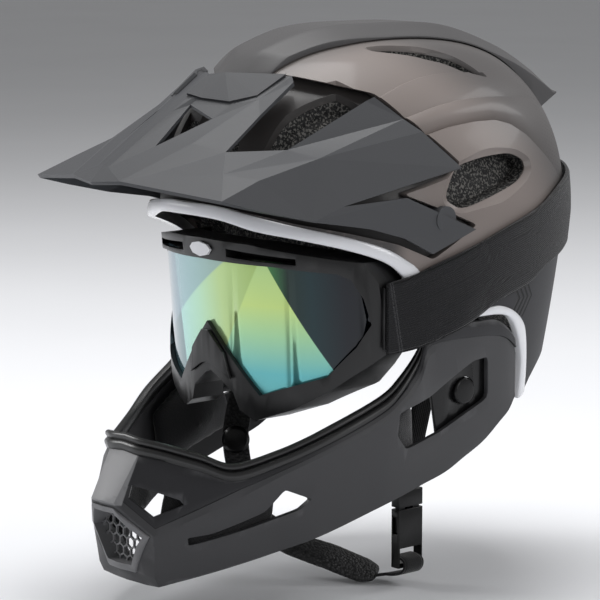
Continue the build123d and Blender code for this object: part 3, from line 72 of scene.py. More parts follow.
# Studio floor, light and air
# A pale sweep just under the chin strap, a wide soft lamp overhead, one from the front left and a
# rim lamp behind. The air is pale, and brighter to the camera than to the helmet.
class Mark:
    """A shader value that sums can be written with."""

    def __init__(self, finish, socket):
        self.finish = finish
        self.socket = socket

    def maths(self, operation, *others):
        return self.finish.node("ShaderNodeMath", {"operation": operation}, [self, *others])

    def __rsub__(self, other):
        return self.finish.node("ShaderNodeMath", {"operation": "SUBTRACT"}, [other, self])

    __add__ = __radd__ = partialmethod(maths, "ADD")
    __sub__ = partialmethod(maths, "SUBTRACT")
    __mul__ = __rmul__ = partialmethod(maths, "MULTIPLY")
    __truediv__ = partialmethod(maths, "DIVIDE")
    __pow__ = partialmethod(maths, "POWER")
    __abs__ = partialmethod(maths, "ABSOLUTE")


class Finish:
    """A material, or the air, made node by node."""

    def __init__(self, name, air=None):
        self.name = name
        self.material = air or bpy.data.materials.new(name)
        self.material.use_nodes = True
        self.tree = self.material.node_tree
        self.shader = None if air else self.tree.nodes["Principled BSDF"]

    def node(self, kind, settings={}, sockets={}, out=0):
        node = self.tree.nodes.new(kind)
        for key, value in settings.items():
            if key == "stops":
                for stop, (position, shade) in enumerate(value):
                    ramp = node.color_ramp.elements
                    mark = ramp[stop] if stop < 2 else ramp.new(position)
                    mark.position = position
                    mark.color = (*shade, 1.0)
            else:
                setattr(node, key, value)
        self.feed(node, sockets.items() if isinstance(sockets, dict) else enumerate(sockets))
        return Mark(self, node.outputs[out])

    def feed(self, node, pairs):
        for key, value in pairs:
            if isinstance(value, Mark):
                self.tree.links.new(value.socket, node.inputs[key])
            else:
                node.inputs[key].default_value = value

    def give(self, **sockets):
        self.feed(self.shader, [(key.replace("_", " "), value) for key, value in sockets.items()])

    def place(self, stretch=(1.0, 1.0, 1.0)):
        spot = self.node("ShaderNodeTexCoord", out="Object")
        return self.node("ShaderNodeMapping", {}, {"Vector": spot, "Scale": stretch})

    def axis(self, name, vector=None):
        return self.node("ShaderNodeSeparateXYZ", {}, [vector or self.place()], name)

    def noise(self, scale, detail=3.0, stretch=(1.0, 1.0, 1.0)):
        return self.node(
            "ShaderNodeTexNoise", {}, {"Vector": self.place(stretch), "Scale": scale, "Detail": detail})

    def cells(self, scale):
        return self.node(
            "ShaderNodeTexVoronoi", {}, {"Vector": self.place(), "Scale": scale}, "Distance")

    def ramp(self, value, *stops):
        return self.node("ShaderNodeValToRGB", {"stops": stops}, [value])

    def rise(self, value, low, high):
        """0 below low, 1 above high, smooth between."""
        return self.node(
            "ShaderNodeMapRange", {"interpolation_type": "SMOOTHSTEP"},
            {"Value": value, "From Min": low, "From Max": high})

    def blend(self, share, first, second):
        first, second = (c if isinstance(c, Mark) else (*c, 1.0) for c in (first, second))
        return self.node("ShaderNodeMix", {"data_type": "RGBA"}, {0: share, 6: first, 7: second}, 2)

    def stored(self, name):
        """The value that mark stored at each place."""
        return self.node("ShaderNodeAttribute", {"attribute_name": name}, out="Fac")

    def bump(self, height, distance):
        return self.node("ShaderNodeBump", {}, {"Height": height, "Distance": distance})


def tone(red, green, blue):
    """A colour as it is seen on screen, 0 to 255, in the shader's linear values."""
    return tuple(
        c / 255 / 12.92 if c <= 10 else ((c / 255 + 0.055) / 1.055) ** 2.4
        for c in (red, green, blue))


FLOOR_Z = -0.2195
FLOOR_SIZE = 24.0
AIR_BASE = 0.26
AIR_SEEN = 0.62
AIR_GLINT = 0.08
bpy.ops.mesh.primitive_plane_add(size=FLOOR_SIZE, location=(0, 0, FLOOR_Z))
floor = bpy.context.object
floor.name = "studio_floor"
floor_finish = Finish("floor_paper")
paper = floor_finish.noise(3.0)
floor_finish.give(
    Base_Color=floor_finish.blend(paper, tone(226, 227, 230), tone(232, 233, 236)),
    Roughness=0.85, Specular_IOR_Level=0.1)
floor.data.materials.append(floor_finish.material)

air = bpy.data.worlds.new("studio_air")
bpy.context.scene.world = air
air_finish = Finish("studio_air", air)
seen, glint, through = (
    air_finish.node("ShaderNodeLightPath", out=f"Is {kind} Ray")
    for kind in ("Camera", "Glossy", "Transmission"))
strength = seen.maths("MAXIMUM", through) * AIR_SEEN + glint * AIR_GLINT + AIR_BASE
air_finish.feed(air_finish.tree.nodes["Background"],
                (("Strength", strength), ("Color", (1.0, 1.0, 1.0, 1.0))))


def lamp(name, place, target, width, height, power):
    bpy.ops.object.light_add(type="AREA", location=place)
    light = bpy.context.object
    light.name = name
    aim(light, place, target)
    light.data.shape = "RECTANGLE"
    light.data.size = width
    light.data.size_y = height
    light.data.energy = power


lamp("lamp_overhead", (-0.2, 0.1, 1.5), (0, 0, 0), 1.0, 0.8, 22)
lamp("lamp_front", (-1.5, -1.1, 0.8), (0, 0, -0.05), 0.6, 1.2, 22)
lamp("lamp_side", (1.7, 0.1, 0.5), (0, 0, -0.08), 0.5, 1.0, 7)
lamp("lamp_rim", (0.6, 1.5, 0.9), (0, 0, 0.0), 1.0, 0.5, 8)


# Outer shell
# A thin moulded shell, taupe in front and fading to grey behind, with three swept ridges over each
# temple. It is moulded over its foam liner. The vents are cut in with a bevelled lip.
SHELL_HALF_WIDTH = 0.109
SHELL_HALF_LENGTH = 0.137
CROWN_HEIGHT = 0.109
SHELL_DEPTH = 0.125
SHELL_WALL = 0.003
PEAK_RECESS = 0.006
CROWN_POWER = 2.7
CROWN_ROOT = 0.37
NARROWING = 0.14
NARROWING_POWER = 1.3
SHORTENING = 0.16
SHORTENING_POWER = 1.25
POLE_SLANT = 89.6
FAR_OUT = 0.2
SLAB_REACH = 0.16


def section(z, inset=0.0):
    """Half width and half length of the head form at each height."""
    up = np.clip(z / (CROWN_HEIGHT - inset), 0, 1)
    down = np.clip(-z / SHELL_DEPTH, 0, 1)
    wide = np.where(z > 0, np.sqrt(1 - up ** 2), 1 - NARROWING * down ** NARROWING_POWER)
    long = np.where(
        z > 0, (1 - up ** CROWN_POWER) ** CROWN_ROOT, 1 - SHORTENING * down ** SHORTENING_POWER)
    return (SHELL_HALF_WIDTH - inset) * wide, (SHELL_HALF_LENGTH - inset) * long


def level(x, y, z, inset=0.0):
    """Below 1 inside the head form and above 1 outside it."""
    wide, long = section(z, inset)
    return (x / np.maximum(wide, 1e-6)) ** 2 + (y / np.maximum(long, 1e-6)) ** 2


def side_reach(y, z):
    """How far the head form reaches to the side at each place."""
    wide, long = section(z)
    return wide * np.sqrt(np.clip(1 - (y / np.maximum(long, 1e-6)) ** 2, 0, 1))


def farthest(high, inside, halvings):
    """The farthest values that are still inside, between 0 and high."""
    low = np.zeros_like(high)
    for step in range(halvings):
        mid = (low + high) / 2
        kept = inside(mid)
        low = np.where(kept, mid, low)
        high = np.where(kept, high, mid)
    return low


def crown_reach(x, y):
    """Height of the head form over each place."""
    return farthest(np.full_like(x, CROWN_HEIGHT - 1e-5), lambda z: level(x, y, z) < 1, 36)


def unit(vectors):
    return vectors / np.linalg.norm(vectors, axis=-1, keepdims=True)


def outward(points):
    """Unit normals of the head form at points on it."""
    def beyond(spots):
        return level(*np.moveaxis(spots, -1, 0))
    step = 1e-5
    return unit(np.stack(
        [beyond(points + step * axis) - beyond(points - step * axis) for axis in np.eye(3)], -1))


def only(piece):
    bpy.ops.object.select_all(action="DESELECT")
    piece.select_set(True)
    bpy.context.view_layer.objects.active = piece


def new_piece(name, mesh):
    piece = bpy.data.objects.new(name, mesh)
    bpy.context.collection.objects.link(piece)
    only(piece)
    return piece


def merged(piece, gap, lean=0.0):
    """Join points within a gap, melt edges that lean less than an angle and turn faces outwards."""
    bpy.ops.object.mode_set(mode="EDIT")
    bpy.ops.mesh.select_all(action="SELECT")
    bpy.ops.mesh.remove_doubles(threshold=gap)
    if lean:
        bpy.ops.mesh.dissolve_limited(angle_limit=radians(lean))
    bpy.ops.mesh.normals_make_consistent(inside=False)
    bpy.ops.object.mode_set(mode="OBJECT")
    return piece


def piece_of(name, points, faces):
    mesh = bpy.data.meshes.new(name)
    mesh.from_pydata([tuple(p) for p in points], [], faces)
    return merged(new_piece(name, mesh), 1e-6)


def spots_of(piece):
    return np.array([v.co for v in piece.data.vertices])


def faces_between(count, size):
    """Faces that join each of count rings of points to the next."""
    faces = []
    for i in range(count - 1):
        for j in range(size):
            k = (j + 1) % size
            faces.append((i * size + j, i * size + k, (i + 1) * size + k, (i + 1) * size + j))
    return faces


def rings_of(name, rings):
    """A closed skin through rings of points, with its ends capped."""
    count = len(rings)
    size = len(rings[0])
    caps = [tuple(range(size))[::-1], tuple(range((count - 1) * size, count * size))]
    return piece_of(name, [p for ring in rings for p in ring], faces_between(count, size) + caps)


def change(piece, kind, **settings):
    """Add a modifier and apply it."""
    only(piece)
    modifier = piece.modifiers.new(kind, kind)
    for key, value in settings.items():
        setattr(modifier, key, value)
    bpy.ops.object.modifier_apply(modifier=modifier.name)
    return piece


def carve(piece, *tools, operation="DIFFERENCE"):
    for tool in tools:
        change(piece, "BOOLEAN", operation=operation, object=tool, solver="EXACT")
        bpy.data.objects.remove(tool)
    return piece


def dome_columns(columns, inset=0.0):
    slant = np.linspace(-POLE_SLANT, POLE_SLANT, columns) * pi / 180
    return (SHELL_HALF_LENGTH - inset) * np.sin(slant)


def dome(name, columns, row_angles, inset, lift=None):
    """The head form, with its poles ahead and behind, rows given by angle from the crown."""
    y = dome_columns(columns, inset)
    angles = row_angles(y)
    across = np.sin(angles)
    up = np.cos(angles)
    ys = np.repeat(y[:, None], angles.shape[1], 1)

    def inside(out):
        form = level(out * across, ys, out * up, inset) < 1
        return form & (out * up <= CROWN_HEIGHT - inset)
    out = farthest(np.full_like(angles, FAR_OUT), inside, 40)
    points = np.stack([out * across, ys, out * up], -1)
    if lift is not None:
        points = points + np.stack([across, 0 * ys, up], -1) * lift[..., None]
    return rings_of(name, np.concatenate([points[:, :0:-1] * (-1, 1, 1), points], 1))


PLAIN_LOW_ANGLE = 126
PLAIN_ROWS = 40


def plain_rows(y):
    angles = np.linspace(0, PLAIN_LOW_ANGLE, PLAIN_ROWS)
    return np.repeat(np.radians(angles)[None, :], len(y), 0)


RIDGE_LINES = [
    [(-0.137, 46.0), (-0.055, 43.6), (-0.043, 41.6), (-0.029, 39.4), (-0.016, 37.9), (-0.002, 37.0),
     (0.018, 36.5), (0.039, 35.9), (0.060, 32.5), (0.137, 26.0)],
    [(-0.137, 58.0), (-0.036, 51.5), (-0.018, 49.7), (0.002, 48.2), (0.029, 46.9), (0.050, 45.9),
     (0.072, 43.8), (0.137, 40.0)],
    [(-0.137, 66.0), (-0.027, 58.2), (-0.014, 57.0), (0.006, 56.0), (0.026, 55.6), (0.039, 57.0),
     (0.052, 60.4), (0.062, 64.5), (0.077, 70.0), (0.093, 77.0), (0.137, 84.0)],
]
RIDGE_ROWS = [16, 14, 18, 34]
RIDGE_EDGE = 0.55
RIDGE_DROPS = [(0.0, 0.0009, 4.0), (0.0, 0.0013, 3.0), (0.0011, 0.0026, 2.0), (0.0006, 0.0, 1.0)]
RIDGE_FADE_FROM = 0.058
RIDGE_FADE_RUN = 0.045
SHELL_LOW_ANGLE = 118.0


def ridge_rows(y):
    """Angles from the crown, with a close pair of rows at each ridge, in radians."""
    bounds = [np.zeros_like(y)]
    bounds += [np.interp(y, *zip(*line)) for line in RIDGE_LINES] + [np.full_like(y, SHELL_LOW_ANGLE)]
    rows = []
    for band, (start, end) in enumerate(zip(bounds, bounds[1:])):
        for u in np.linspace(0, 1, RIDGE_ROWS[band]):
            first = start + (RIDGE_EDGE if band else 0)
            rows.append(first + (end - first) * u)
    return np.radians(np.stack(rows, 1))


def ridge_lift(columns):
    """How far each point of the ridged grid stands off the head form."""
    share = np.clip((dome_columns(columns) - RIDGE_FADE_FROM) / RIDGE_FADE_RUN, 0, 1)
    fade = 1 - share ** 2 * (3 - 2 * share)
    lifts = []
    for band, (swell, drop, power) in enumerate(RIDGE_DROPS):
        for u in np.linspace(0, 1, RIDGE_ROWS[band]):
            lifts.append((swell * sin(pi * u) - drop * u ** power) * fade)
    return np.stack(lifts, 1)


def scaled(shares, first, second):
    return [(a * first, b * second) for a, b in shares]


def in_metres(shares):
    """A side outline, given in shares of the head form."""
    return scaled(shares, SHELL_HALF_LENGTH, CROWN_HEIGHT)


def flowing(points, steps=6):
    """A smooth line through points."""
    p = np.array([points[0]] + list(points) + [points[-1]], float)
    line = []
    for i in range(1, len(p) - 2):
        for t in np.arange(steps) / steps:
            line.append(0.5 * (
                2 * p[i] + (p[i + 1] - p[i - 1]) * t
                + (2 * p[i - 1] - 5 * p[i] + 4 * p[i + 1] - p[i + 2]) * t ** 2
                + (3 * p[i] - p[i - 1] - 3 * p[i + 1] + p[i + 2]) * t ** 3))
    line.append(p[-2])
    return np.array(line)


def rounded(points, share, steps=5):
    """A closed outline with its corners rounded."""
    p = np.array(points, float)
    line = []
    for before, here, after in zip(np.roll(p, 1, 0), p, np.roll(p, -1, 0)):
        start = here + (before - here) * share
        end = here + (after - here) * share
        for t in np.linspace(0, 1, steps):
            line.append((1 - t) ** 2 * start + 2 * t * (1 - t) * here + t * t * end)
    return np.array(line)


def grown(points, margin):
    """A closed outline grown about its own middle."""
    p = np.array(points, float)
    middle = p.mean(0)
    away = p - middle
    return middle + away * (1 + margin / np.linalg.norm(away, axis=1, keepdims=True))


def side_slab(outline):
    """A tool that cuts a side outline right across the helmet."""
    return rings_of("tool", [[(x, y, z) for y, z in outline] for x in (-SLAB_REACH, SLAB_REACH)])


TRIM_UPPER = [
    (-1.168, 0.176), (-1.003, 0.156), (-0.898, 0.104), (-0.796, 0.059), (-0.635, 0.003),
    (-0.482, -0.066), (-0.387, -0.138), (-0.342, -0.183), (-0.277, -0.284), (-0.204, -0.367),
    (-0.102, -0.417), (-0.029, -0.433), (0.051, -0.434), (0.124, -0.436), (0.216, -0.474),
    (0.301, -0.545), (0.345, -0.628), (0.389, -0.825), (0.406, -0.972),
]
SHELL_SPLIT = [
    (-0.310, -0.230), (-0.219, -0.248), (0.000, -0.202), (0.292, -0.119), (0.584, -0.037),
    (1.168, 0.055),
]
SHELL_ABOVE = [(1.168, 1.400), (-1.168, 1.400)]
PEAK_BED = [
    (-1.168, 1.193), (-0.818, 0.862), (-0.613, 0.807), (-0.365, 0.716), (-0.292, 0.596),
    (-0.241, 0.532), (-0.102, 0.349), (-0.175, 0.284), (-0.401, 0.211), (-0.058, 0.028),
    (-0.277, -0.138), (-0.438, -0.046), (-0.620, 0.018), (-0.803, 0.073), (-1.022, 0.165),
    (-1.168, 0.183),
]
SIDE_VENT = [
    (-0.124, 0.336), (0.051, 0.372), (0.223, 0.376), (0.314, 0.330), (0.314, 0.275),
    (0.245, 0.220), (0.069, 0.165), (-0.124, 0.107), (-0.209, 0.172),
]
TOP_VENT = [
    (0.330, -0.212), (0.339, -0.102), (0.394, 0.062), (0.459, 0.197), (0.550, 0.277),
    (0.596, 0.307), (0.587, 0.193), (0.495, 0.058), (0.431, -0.088), (0.385, -0.182),
]
FRONT_VENT = [
    (0.367, -0.934), (0.394, -0.701), (0.477, -0.482), (0.606, -0.409), (0.670, -0.453),
    (0.642, -0.788),
]
BROW_VENT = [(0.073, -0.940), (0.073, -0.840), (0.240, -0.800), (0.260, -0.900)]
BED_ROUNDING = 0.08
VENT_ROUNDING = 0.35
VENT_LIP = [(1.8, -0.003), (1.0, -0.0001), (0.0, 0.0024), (0.0, 0.014)]
VENT_FOOT = 0.006
SIDE_LIP = 0.0042
SIDE_TIP = 0.010
TOP_LIP = 0.0022
TOP_TIP = 0.008
SHELL_COLUMNS = 250
TOOL_COLUMNS = 90
FLOOR_COLUMNS = 70

shell = dome("outer_shell_skin", SHELL_COLUMNS, ridge_rows, 0.0, ridge_lift(SHELL_COLUMNS))
bed = rounded(in_metres(PEAK_BED), BED_ROUNDING)
carve(shell, side_slab(bed))
carve(shell, dome("tool", TOOL_COLUMNS, plain_rows, PEAK_RECESS), operation="UNION")
hollow = dome("tool", TOOL_COLUMNS, plain_rows, SHELL_WALL)
carve(hollow, side_slab(grown(bed, SHELL_WALL)))
carve(hollow, dome("tool", FLOOR_COLUMNS, plain_rows, PEAK_RECESS + SHELL_WALL), operation="UNION")
carve(shell, hollow)


def roof_metres(shares):
    """A roof outline, given in shares of the head form."""
    return scaled(shares, SHELL_HALF_WIDTH, SHELL_HALF_LENGTH)


def on_side(y, z, inset):
    return np.stack([side_reach(y, z) - inset, y, z], 1)


def on_roof(x, y, inset):
    return np.stack([x, y, crown_reach(x, y) - inset], 1)


def vent_tool(outline, lip, placed, away, side):
    """A tool that cuts a vent with a sloping lip, its outer end drawn to a tip away from the form."""
    line = rounded(outline, VENT_ROUNDING)
    rings = [placed(*(grown(line, lip * share) if share else line).T, inset) for share, inset in VENT_LIP]
    away = np.array(away)
    tips = [rings[0].mean(0) + away, rings[-1].mean(0) - np.sign(away) * VENT_FOOT]
    count, size = len(rings), len(line)
    faces = faces_between(count, size)
    last = (count - 1) * size
    for j in range(size):
        k = (j + 1) % size
        faces += [(k, j, last + size), (last + j, last + k, last + size + 1)]
    return piece_of("tool", np.concatenate([*rings, tips]) * (side, 1, 1), faces)


def roof_slab(outline, side):
    line = roof_metres(outline)
    return rings_of("tool", [
        [(x * side, y, z) for x, y in line] for z in (CROWN_HEIGHT / 4, CROWN_HEIGHT * 1.5)])


for side in (1, -1):
    carve(shell, vent_tool(in_metres(SIDE_VENT), SIDE_LIP, on_side, (SIDE_TIP, 0, 0), side),
          vent_tool(roof_metres(TOP_VENT), TOP_LIP, on_roof, (0, 0, TOP_TIP), side))
    carve(shell, roof_slab(FRONT_VENT, side), roof_slab(BROW_VENT, side))
split_line = np.concatenate([
    flowing(in_metres(TRIM_UPPER[:8])), in_metres(SHELL_SPLIT), in_metres(SHELL_ABOVE)])
carve(shell, side_slab(split_line), operation="INTERSECT")


def softened(piece, angle):
    only(piece)
    bpy.ops.object.shade_smooth_by_angle(angle=radians(angle))
    return piece


def fitted(piece, finish, body, node):
    """Give a piece its finish and its body, and hide the CAD node that it stands for."""
    piece.data.materials.clear()
    piece.data.materials.append(finish.material)
    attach(piece, body)
    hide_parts(node)


CLOUD_SCALE = 16.0
GRAIN_SCALE = 1500.0


def times(colour, share, more=0.0):
    return tuple(min(c * share + more, 1) for c in colour)


def moulded(name, colour, roughness, grain=0.00004, spread=0.12, coat=0.0, gloss=0.35, rub_and_highlight=0.5,
            fade=None):
    """Moulded plastic: faint clouding, a fine spark grain and paler edges, partly rubbed wear and partly
    painted highlight.
    """
    finish = Finish(name)
    cloud = finish.noise(CLOUD_SCALE)
    fine = finish.noise(GRAIN_SCALE, 2.0)
    shade = finish.blend(cloud, times(colour, 1 - spread), times(colour, 1 + spread))
    if fade:
        shade = fade(finish, shade)
    # Paler edges: partly rubbed wear, partly a painted highlight along creases.
    edge = finish.node("ShaderNodeNewGeometry", out="Pointiness")
    rubbed_and_highlit = finish.rise(edge, 0.53, 0.60) * finish.rise(finish.noise(90.0), 0.35, 0.75)
    shade = finish.blend(rubbed_and_highlit * rub_and_highlight, shade, times(colour, 1.9, 0.02))
    finish.give(
        Base_Color=shade, Roughness=roughness + (fine - 0.5) * 0.14, Specular_IOR_Level=gloss,
        Coat_Weight=coat, Coat_Roughness=0.12, Normal=finish.bump(fine, grain))
    return finish


DOT_ROW = 0.0026
DOT_COLUMN = 0.0040
SUNK_DEPTH = 0.0042


def shell_fade(finish, shade):
    """Taupe turns grey towards the rear, where rows of fine dots start. The brow strip under the peak and
    the floor of the peak's bed are painted darker as shade, and a strip along the crown top is darker.
    """
    y = finish.axis("Y")
    z = finish.axis("Z")
    x = abs(finish.axis("X"))
    behind = finish.rise(y + z * 0.8, 0.042, 0.112)
    shade = finish.blend(behind * 0.85, shade, tone(66, 65, 66))
    # Painted shade on the brow strip under the peak.
    brow = finish.rise(-0.052 - y, 0.0, 0.012) * finish.rise(0.030 - z, 0.0, 0.012)
    sunk = finish.stored("sunk")
    shade = finish.blend(brow * 0.9, shade, tone(54, 53, 54))
    # Painted shade on the floor of the peak's bed.
    shade = finish.blend(sunk * 0.95, shade, tone(40, 38, 38))
    roof = finish.rise(0.046 - x, 0.0, 0.018) * finish.rise(z, 0.07, 0.09)
    shade = finish.blend(roof * 0.55, shade, tone(96, 93, 92))
    row = (y * 0.35 + z) / DOT_ROW
    column = (y - z * 0.25) / DOT_COLUMN
    shift = row.maths("FLOOR").maths("MODULO", 2.0) * 0.5
    across = (column + shift).maths("FRACT") - 0.5
    along = row.maths("FRACT") - 0.5
    far = across ** 2.0 * 2.2 + along ** 2.0
    zone = finish.rise(y, 0.066, 0.095) * finish.rise(z, 0.012, 0.03) * finish.rise(0.09 - z, 0, 0.02)
    dots = (1 - finish.rise(far, 0.03, 0.06)) * zone
    return finish.blend(dots * 0.75, shade, tone(30, 30, 31))


def mark(piece, name, values, domain="POINT"):
    """Store one value for each point or face of a piece, for its material to read."""
    layer = piece.data.attributes.new(name, "FLOAT", domain)
    layer.data.foreach_set("value", values)


# Points deep in the peak's bed are stored for the painted shade there.
x, y, z = spots_of(shell).T
deep = (level(x, y, z, SUNK_DEPTH) < 1) & (z < CROWN_HEIGHT - SUNK_DEPTH)
mark(shell, "sunk", deep.astype(float))
taupe = moulded("shell_taupe", tone(124, 115, 111), 0.50, spread=0.06, coat=0.12, fade=shell_fade)
softened(shell, 28)
fitted(shell, taupe, "shell", "outer_shell")


# Rear shell
# The lower rear of the shell, a separate dark moulding that wraps the ears and the nape. A small nest of
# pressed ribs on each side is relief in its finish, with painted shade in its grooves.
SHELL_HEM = [
    (0.460, -0.908), (0.540, -0.849), (0.650, -0.803), (0.818, -0.761), (1.168, -0.734),
]
REAR_TOP = 0.014
REAR_FOOT = -0.112
HOLLOW_TOP = 0.030
HOLLOW_FOOT = -0.123


def barrel(name, top, foot, rows, columns, inset):
    """The lower head form between two heights, closed above and below."""
    rings = []
    turn = np.linspace(0, 2 * pi, columns, endpoint=False)
    for z in np.linspace(top, foot, rows):
        wide, long = section(z, inset)
        rings.append(np.stack([wide * np.cos(turn), long * np.sin(turn), np.full(columns, z)], 1))
    return rings_of(name, rings)


rear = barrel("rear_shell_skin", REAR_TOP, REAR_FOOT, 56, 220, 0.0)
carve(rear, barrel("tool", HOLLOW_TOP, HOLLOW_FOOT, 30, 120, SHELL_WALL))
rear_line = np.concatenate([
    flowing(in_metres(TRIM_UPPER[7:])), flowing(in_metres(SHELL_HEM)),
    in_metres(SHELL_SPLIT)[::-1]])
carve(rear, side_slab(rear_line), operation="INTERSECT")

NEST_PITCH = 0.0046
NEST_FRONT = 0.0335
NEST_MIDDLE = -0.0455
skirt = moulded("shell_dark", tone(44, 44, 47), 0.55, spread=0.08, gloss=0.3)
y = skirt.axis("Y")
z = skirt.axis("Z")
tall = abs(z - NEST_MIDDLE)
bent = (y - NEST_FRONT) + tall * 0.75
line = (bent / NEST_PITCH).maths("FRACT")
groove = 1 - skirt.rise(abs(line - 0.5), 0.15, 0.30)
nest = skirt.rise(bent, -0.0005, 0.0) * skirt.rise(0.0175 - bent, 0.0, 0.0005)
nest = nest * skirt.rise(0.0125 - tall, 0.0, 0.001)
fine = skirt.noise(GRAIN_SCALE, 2.0)
# The rib grooves are painted near black as shade.
skirt.give(
    Base_Color=skirt.blend(groove * nest * 0.9, skirt.blend(
        skirt.noise(CLOUD_SCALE), tone(41, 41, 44), tone(50, 50, 53)), tone(14, 14, 15)),
    Normal=skirt.bump(groove * nest * -1.0 + fine * 0.05, 0.0007))
softened(rear, 28)
fitted(rear, skirt, "shell", "rear_shell")


# Crown spine
# A raised moulding that runs from the peak's seam over the crown and ends in a tail over the nape.
# It is dark grey, bonded to the shell, with sloping flanks.
RIDGE_TOP = [
    (-0.869, 0.760), (-0.737, 0.868), (-0.606, 0.950), (-0.350, 1.034), (-0.015, 1.048),
    (0.372, 1.022), (0.715, 0.890), (0.942, 0.743), (1.015, 0.670),
]
RIDGE_TAIL = [(0.0, 0.0), (0.700, 0.300), (0.818, 0.459), (1.015, 0.600)]
SPINE_HALF = 0.030
SPINE_FLAT = 0.47
SPINE_CROSS = [-1.0, -0.9, -0.7, -0.55, -0.47, -0.4, -0.2, 0.0, 0.2, 0.4, 0.47, 0.55, 0.7, 0.9, 1.0]
SPINE_START = -0.818 * SHELL_HALF_LENGTH
SPINE_END = 1.015 * SHELL_HALF_LENGTH
SPINE_COLUMNS = 90
SPINE_NOSE = 0.86
SPINE_SWEEP = 0.75
SPINE_SEAT = 0.00075
SPINE_LEAST = 0.0012
FLANK_DROP = 0.010
LIP_SHARE = 0.15
LIP_RISE = 14
FORM_REAR = 0.1368
ridge_top = flowing(in_metres(RIDGE_TOP), 8)
outer = []
inner = []
for share in np.linspace(0, 1, SPINE_COLUMNS):
    x = np.array(SPINE_CROSS) * SPINE_HALF * (SPINE_NOSE + (1 - SPINE_NOSE) * min(share * 4, 1))
    y = SPINE_START + (SPINE_END - SPINE_START) * share + SPINE_SWEEP * np.abs(x) * (1 - share) ** 3
    top = np.interp(y, ridge_top[:, 0], ridge_top[:, 1])
    inside = (x / SHELL_HALF_WIDTH) ** 2 + (y / SHELL_HALF_LENGTH) ** 2 < 0.999
    below = np.where(inside, crown_reach(x, np.minimum(y, FORM_REAR)), 0.0) + SPINE_SEAT
    under = np.where(y > 0, np.interp(y, *zip(*in_metres(RIDGE_TAIL))), 0.0)
    base = np.maximum(below, under)
    flank = np.clip((np.abs(SPINE_CROSS) - SPINE_FLAT) / (1 - SPINE_FLAT), 0, 1)
    crest = np.maximum(top - flank * FLANK_DROP * (0.6 + 0.4 * share), base + SPINE_LEAST)
    crest = base + (crest - base) * min(LIP_SHARE + share * LIP_RISE, 1)
    outer.append(np.stack([x, y, crest], 1))
    inner.append(np.stack([x, y, base], 1))


def skin_between(name, outer, inner):
    """A closed skin between two grids of points."""
    rings = [np.concatenate([row, under[::-1]]) for row, under in zip(outer, inner)]
    return rings_of(name, rings)


def ease(piece, width, angle, segments=2, material=-1):
    """Bevel the edges that turn more than an angle."""
    change(piece, "BEVEL", width=width, segments=segments, limit_method="ANGLE",
           angle_limit=radians(angle), use_clamp_overlap=True, material=material)


spine = skin_between("crown_spine_moulding", outer, inner)
ease(spine, 0.0008, 40)
softened(spine, 30)
spine_grey = moulded("spine_grey", tone(74, 73, 74), 0.52, spread=0.08)
fitted(spine, spine_grey, "shell", "crown_spine")


# Rim trim
# A white gloss moulding that edges the face port, from the brow round the ear to a tip behind the
# chin guard. It clips over the shell's edge, so its outer face is rounded and its lip turns in.
PORT_EDGE = [
    (-1.168, 0.098), (-1.000, 0.088), (-0.901, 0.026), (-0.796, -0.010), (-0.631, -0.068),
    (-0.496, -0.132), (-0.420, -0.202), (-0.343, -0.321), (-0.248, -0.431), (-0.131, -0.468),
    (-0.033, -0.477), (0.109, -0.482), (0.197, -0.514), (0.263, -0.606), (0.310, -0.716),
    (0.336, -0.817), (0.350, -1.000),
]
TRIM_PROFILE = [
    (0.0, -0.0030), (0.0, 0.0002), (0.03, 0.0008), (0.10, 0.0012), (0.30, 0.0015), (0.60, 0.0015),
    (0.90, 0.0012), (0.97, 0.0008), (1.0, 0.0002), (1.0, -0.0030),
]
TRIM_COLUMNS = 150
TRIM_CROWDING = 1.35


def run_along(line):
    """The length of a line up to each of its points."""
    return np.concatenate([[0], np.cumsum(np.linalg.norm(np.diff(line, axis=0), axis=1))])


def on_form(outline):
    """The part of a side outline that lies on the head form, from the middle in front, evenly spread."""
    line = flowing(outline, 24)
    reach = section(line[:, 1])[1]
    line = line[np.abs(line[:, 0]) < reach - 2e-5]
    run = run_along(line)
    steps = np.linspace(0, 1, TRIM_COLUMNS) ** TRIM_CROWDING * run[-1]
    return np.stack([np.interp(steps, run, line[:, 0]), np.interp(steps, run, line[:, 1])], 1)


upper_edge = on_form(in_metres(TRIM_UPPER))
lower_edge = on_form(in_metres(PORT_EDGE))
share, lift = np.array(TRIM_PROFILE).T[..., None]
rings = []
for low, high in zip(lower_edge, upper_edge):
    base = on_side(*(low + (high - low) * share).T, 0.0)
    rings.append(base + outward(base) * lift)
far = [ring * (-1, 1, 1) for ring in rings[:0:-1]]
trim = rings_of("rim_trim_moulding", far + rings)
softened(trim, 40)
white = moulded(
    "trim_white", tone(226, 227, 231), 0.22, grain=0.00001, spread=0.03, coat=0.5, gloss=0.5)
fitted(trim, white, "shell", "rim_trim")


# Foam liner
# Grey black expanded foam under the shell, seen in the vents. Its beads show as pale specks, and
# their seams as fine pits.
beads = Finish("foam_black")
bead = beads.cells(480.0)
speck = beads.rise(beads.noise(700.0, 2.0), 0.50, 0.60)
beads.give(
    Base_Color=beads.blend(speck * 0.75, beads.ramp(
        bead, (0.0, tone(46, 46, 47)), (0.9, tone(12, 12, 13))), tone(128, 126, 122)),
    Roughness=0.75, Specular_IOR_Level=0.4, Normal=beads.bump(bead * -1.0 + speck * 0.4, 0.0006))


def dress(finish, *nodes):
    """Give CAD pieces that keep their shape a finish."""
    for node in nodes:
        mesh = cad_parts[node].data
        mesh.materials.clear()
        mesh.materials.append(finish.material)


dress(beads, "foam_liner", "foam_liner_lower")


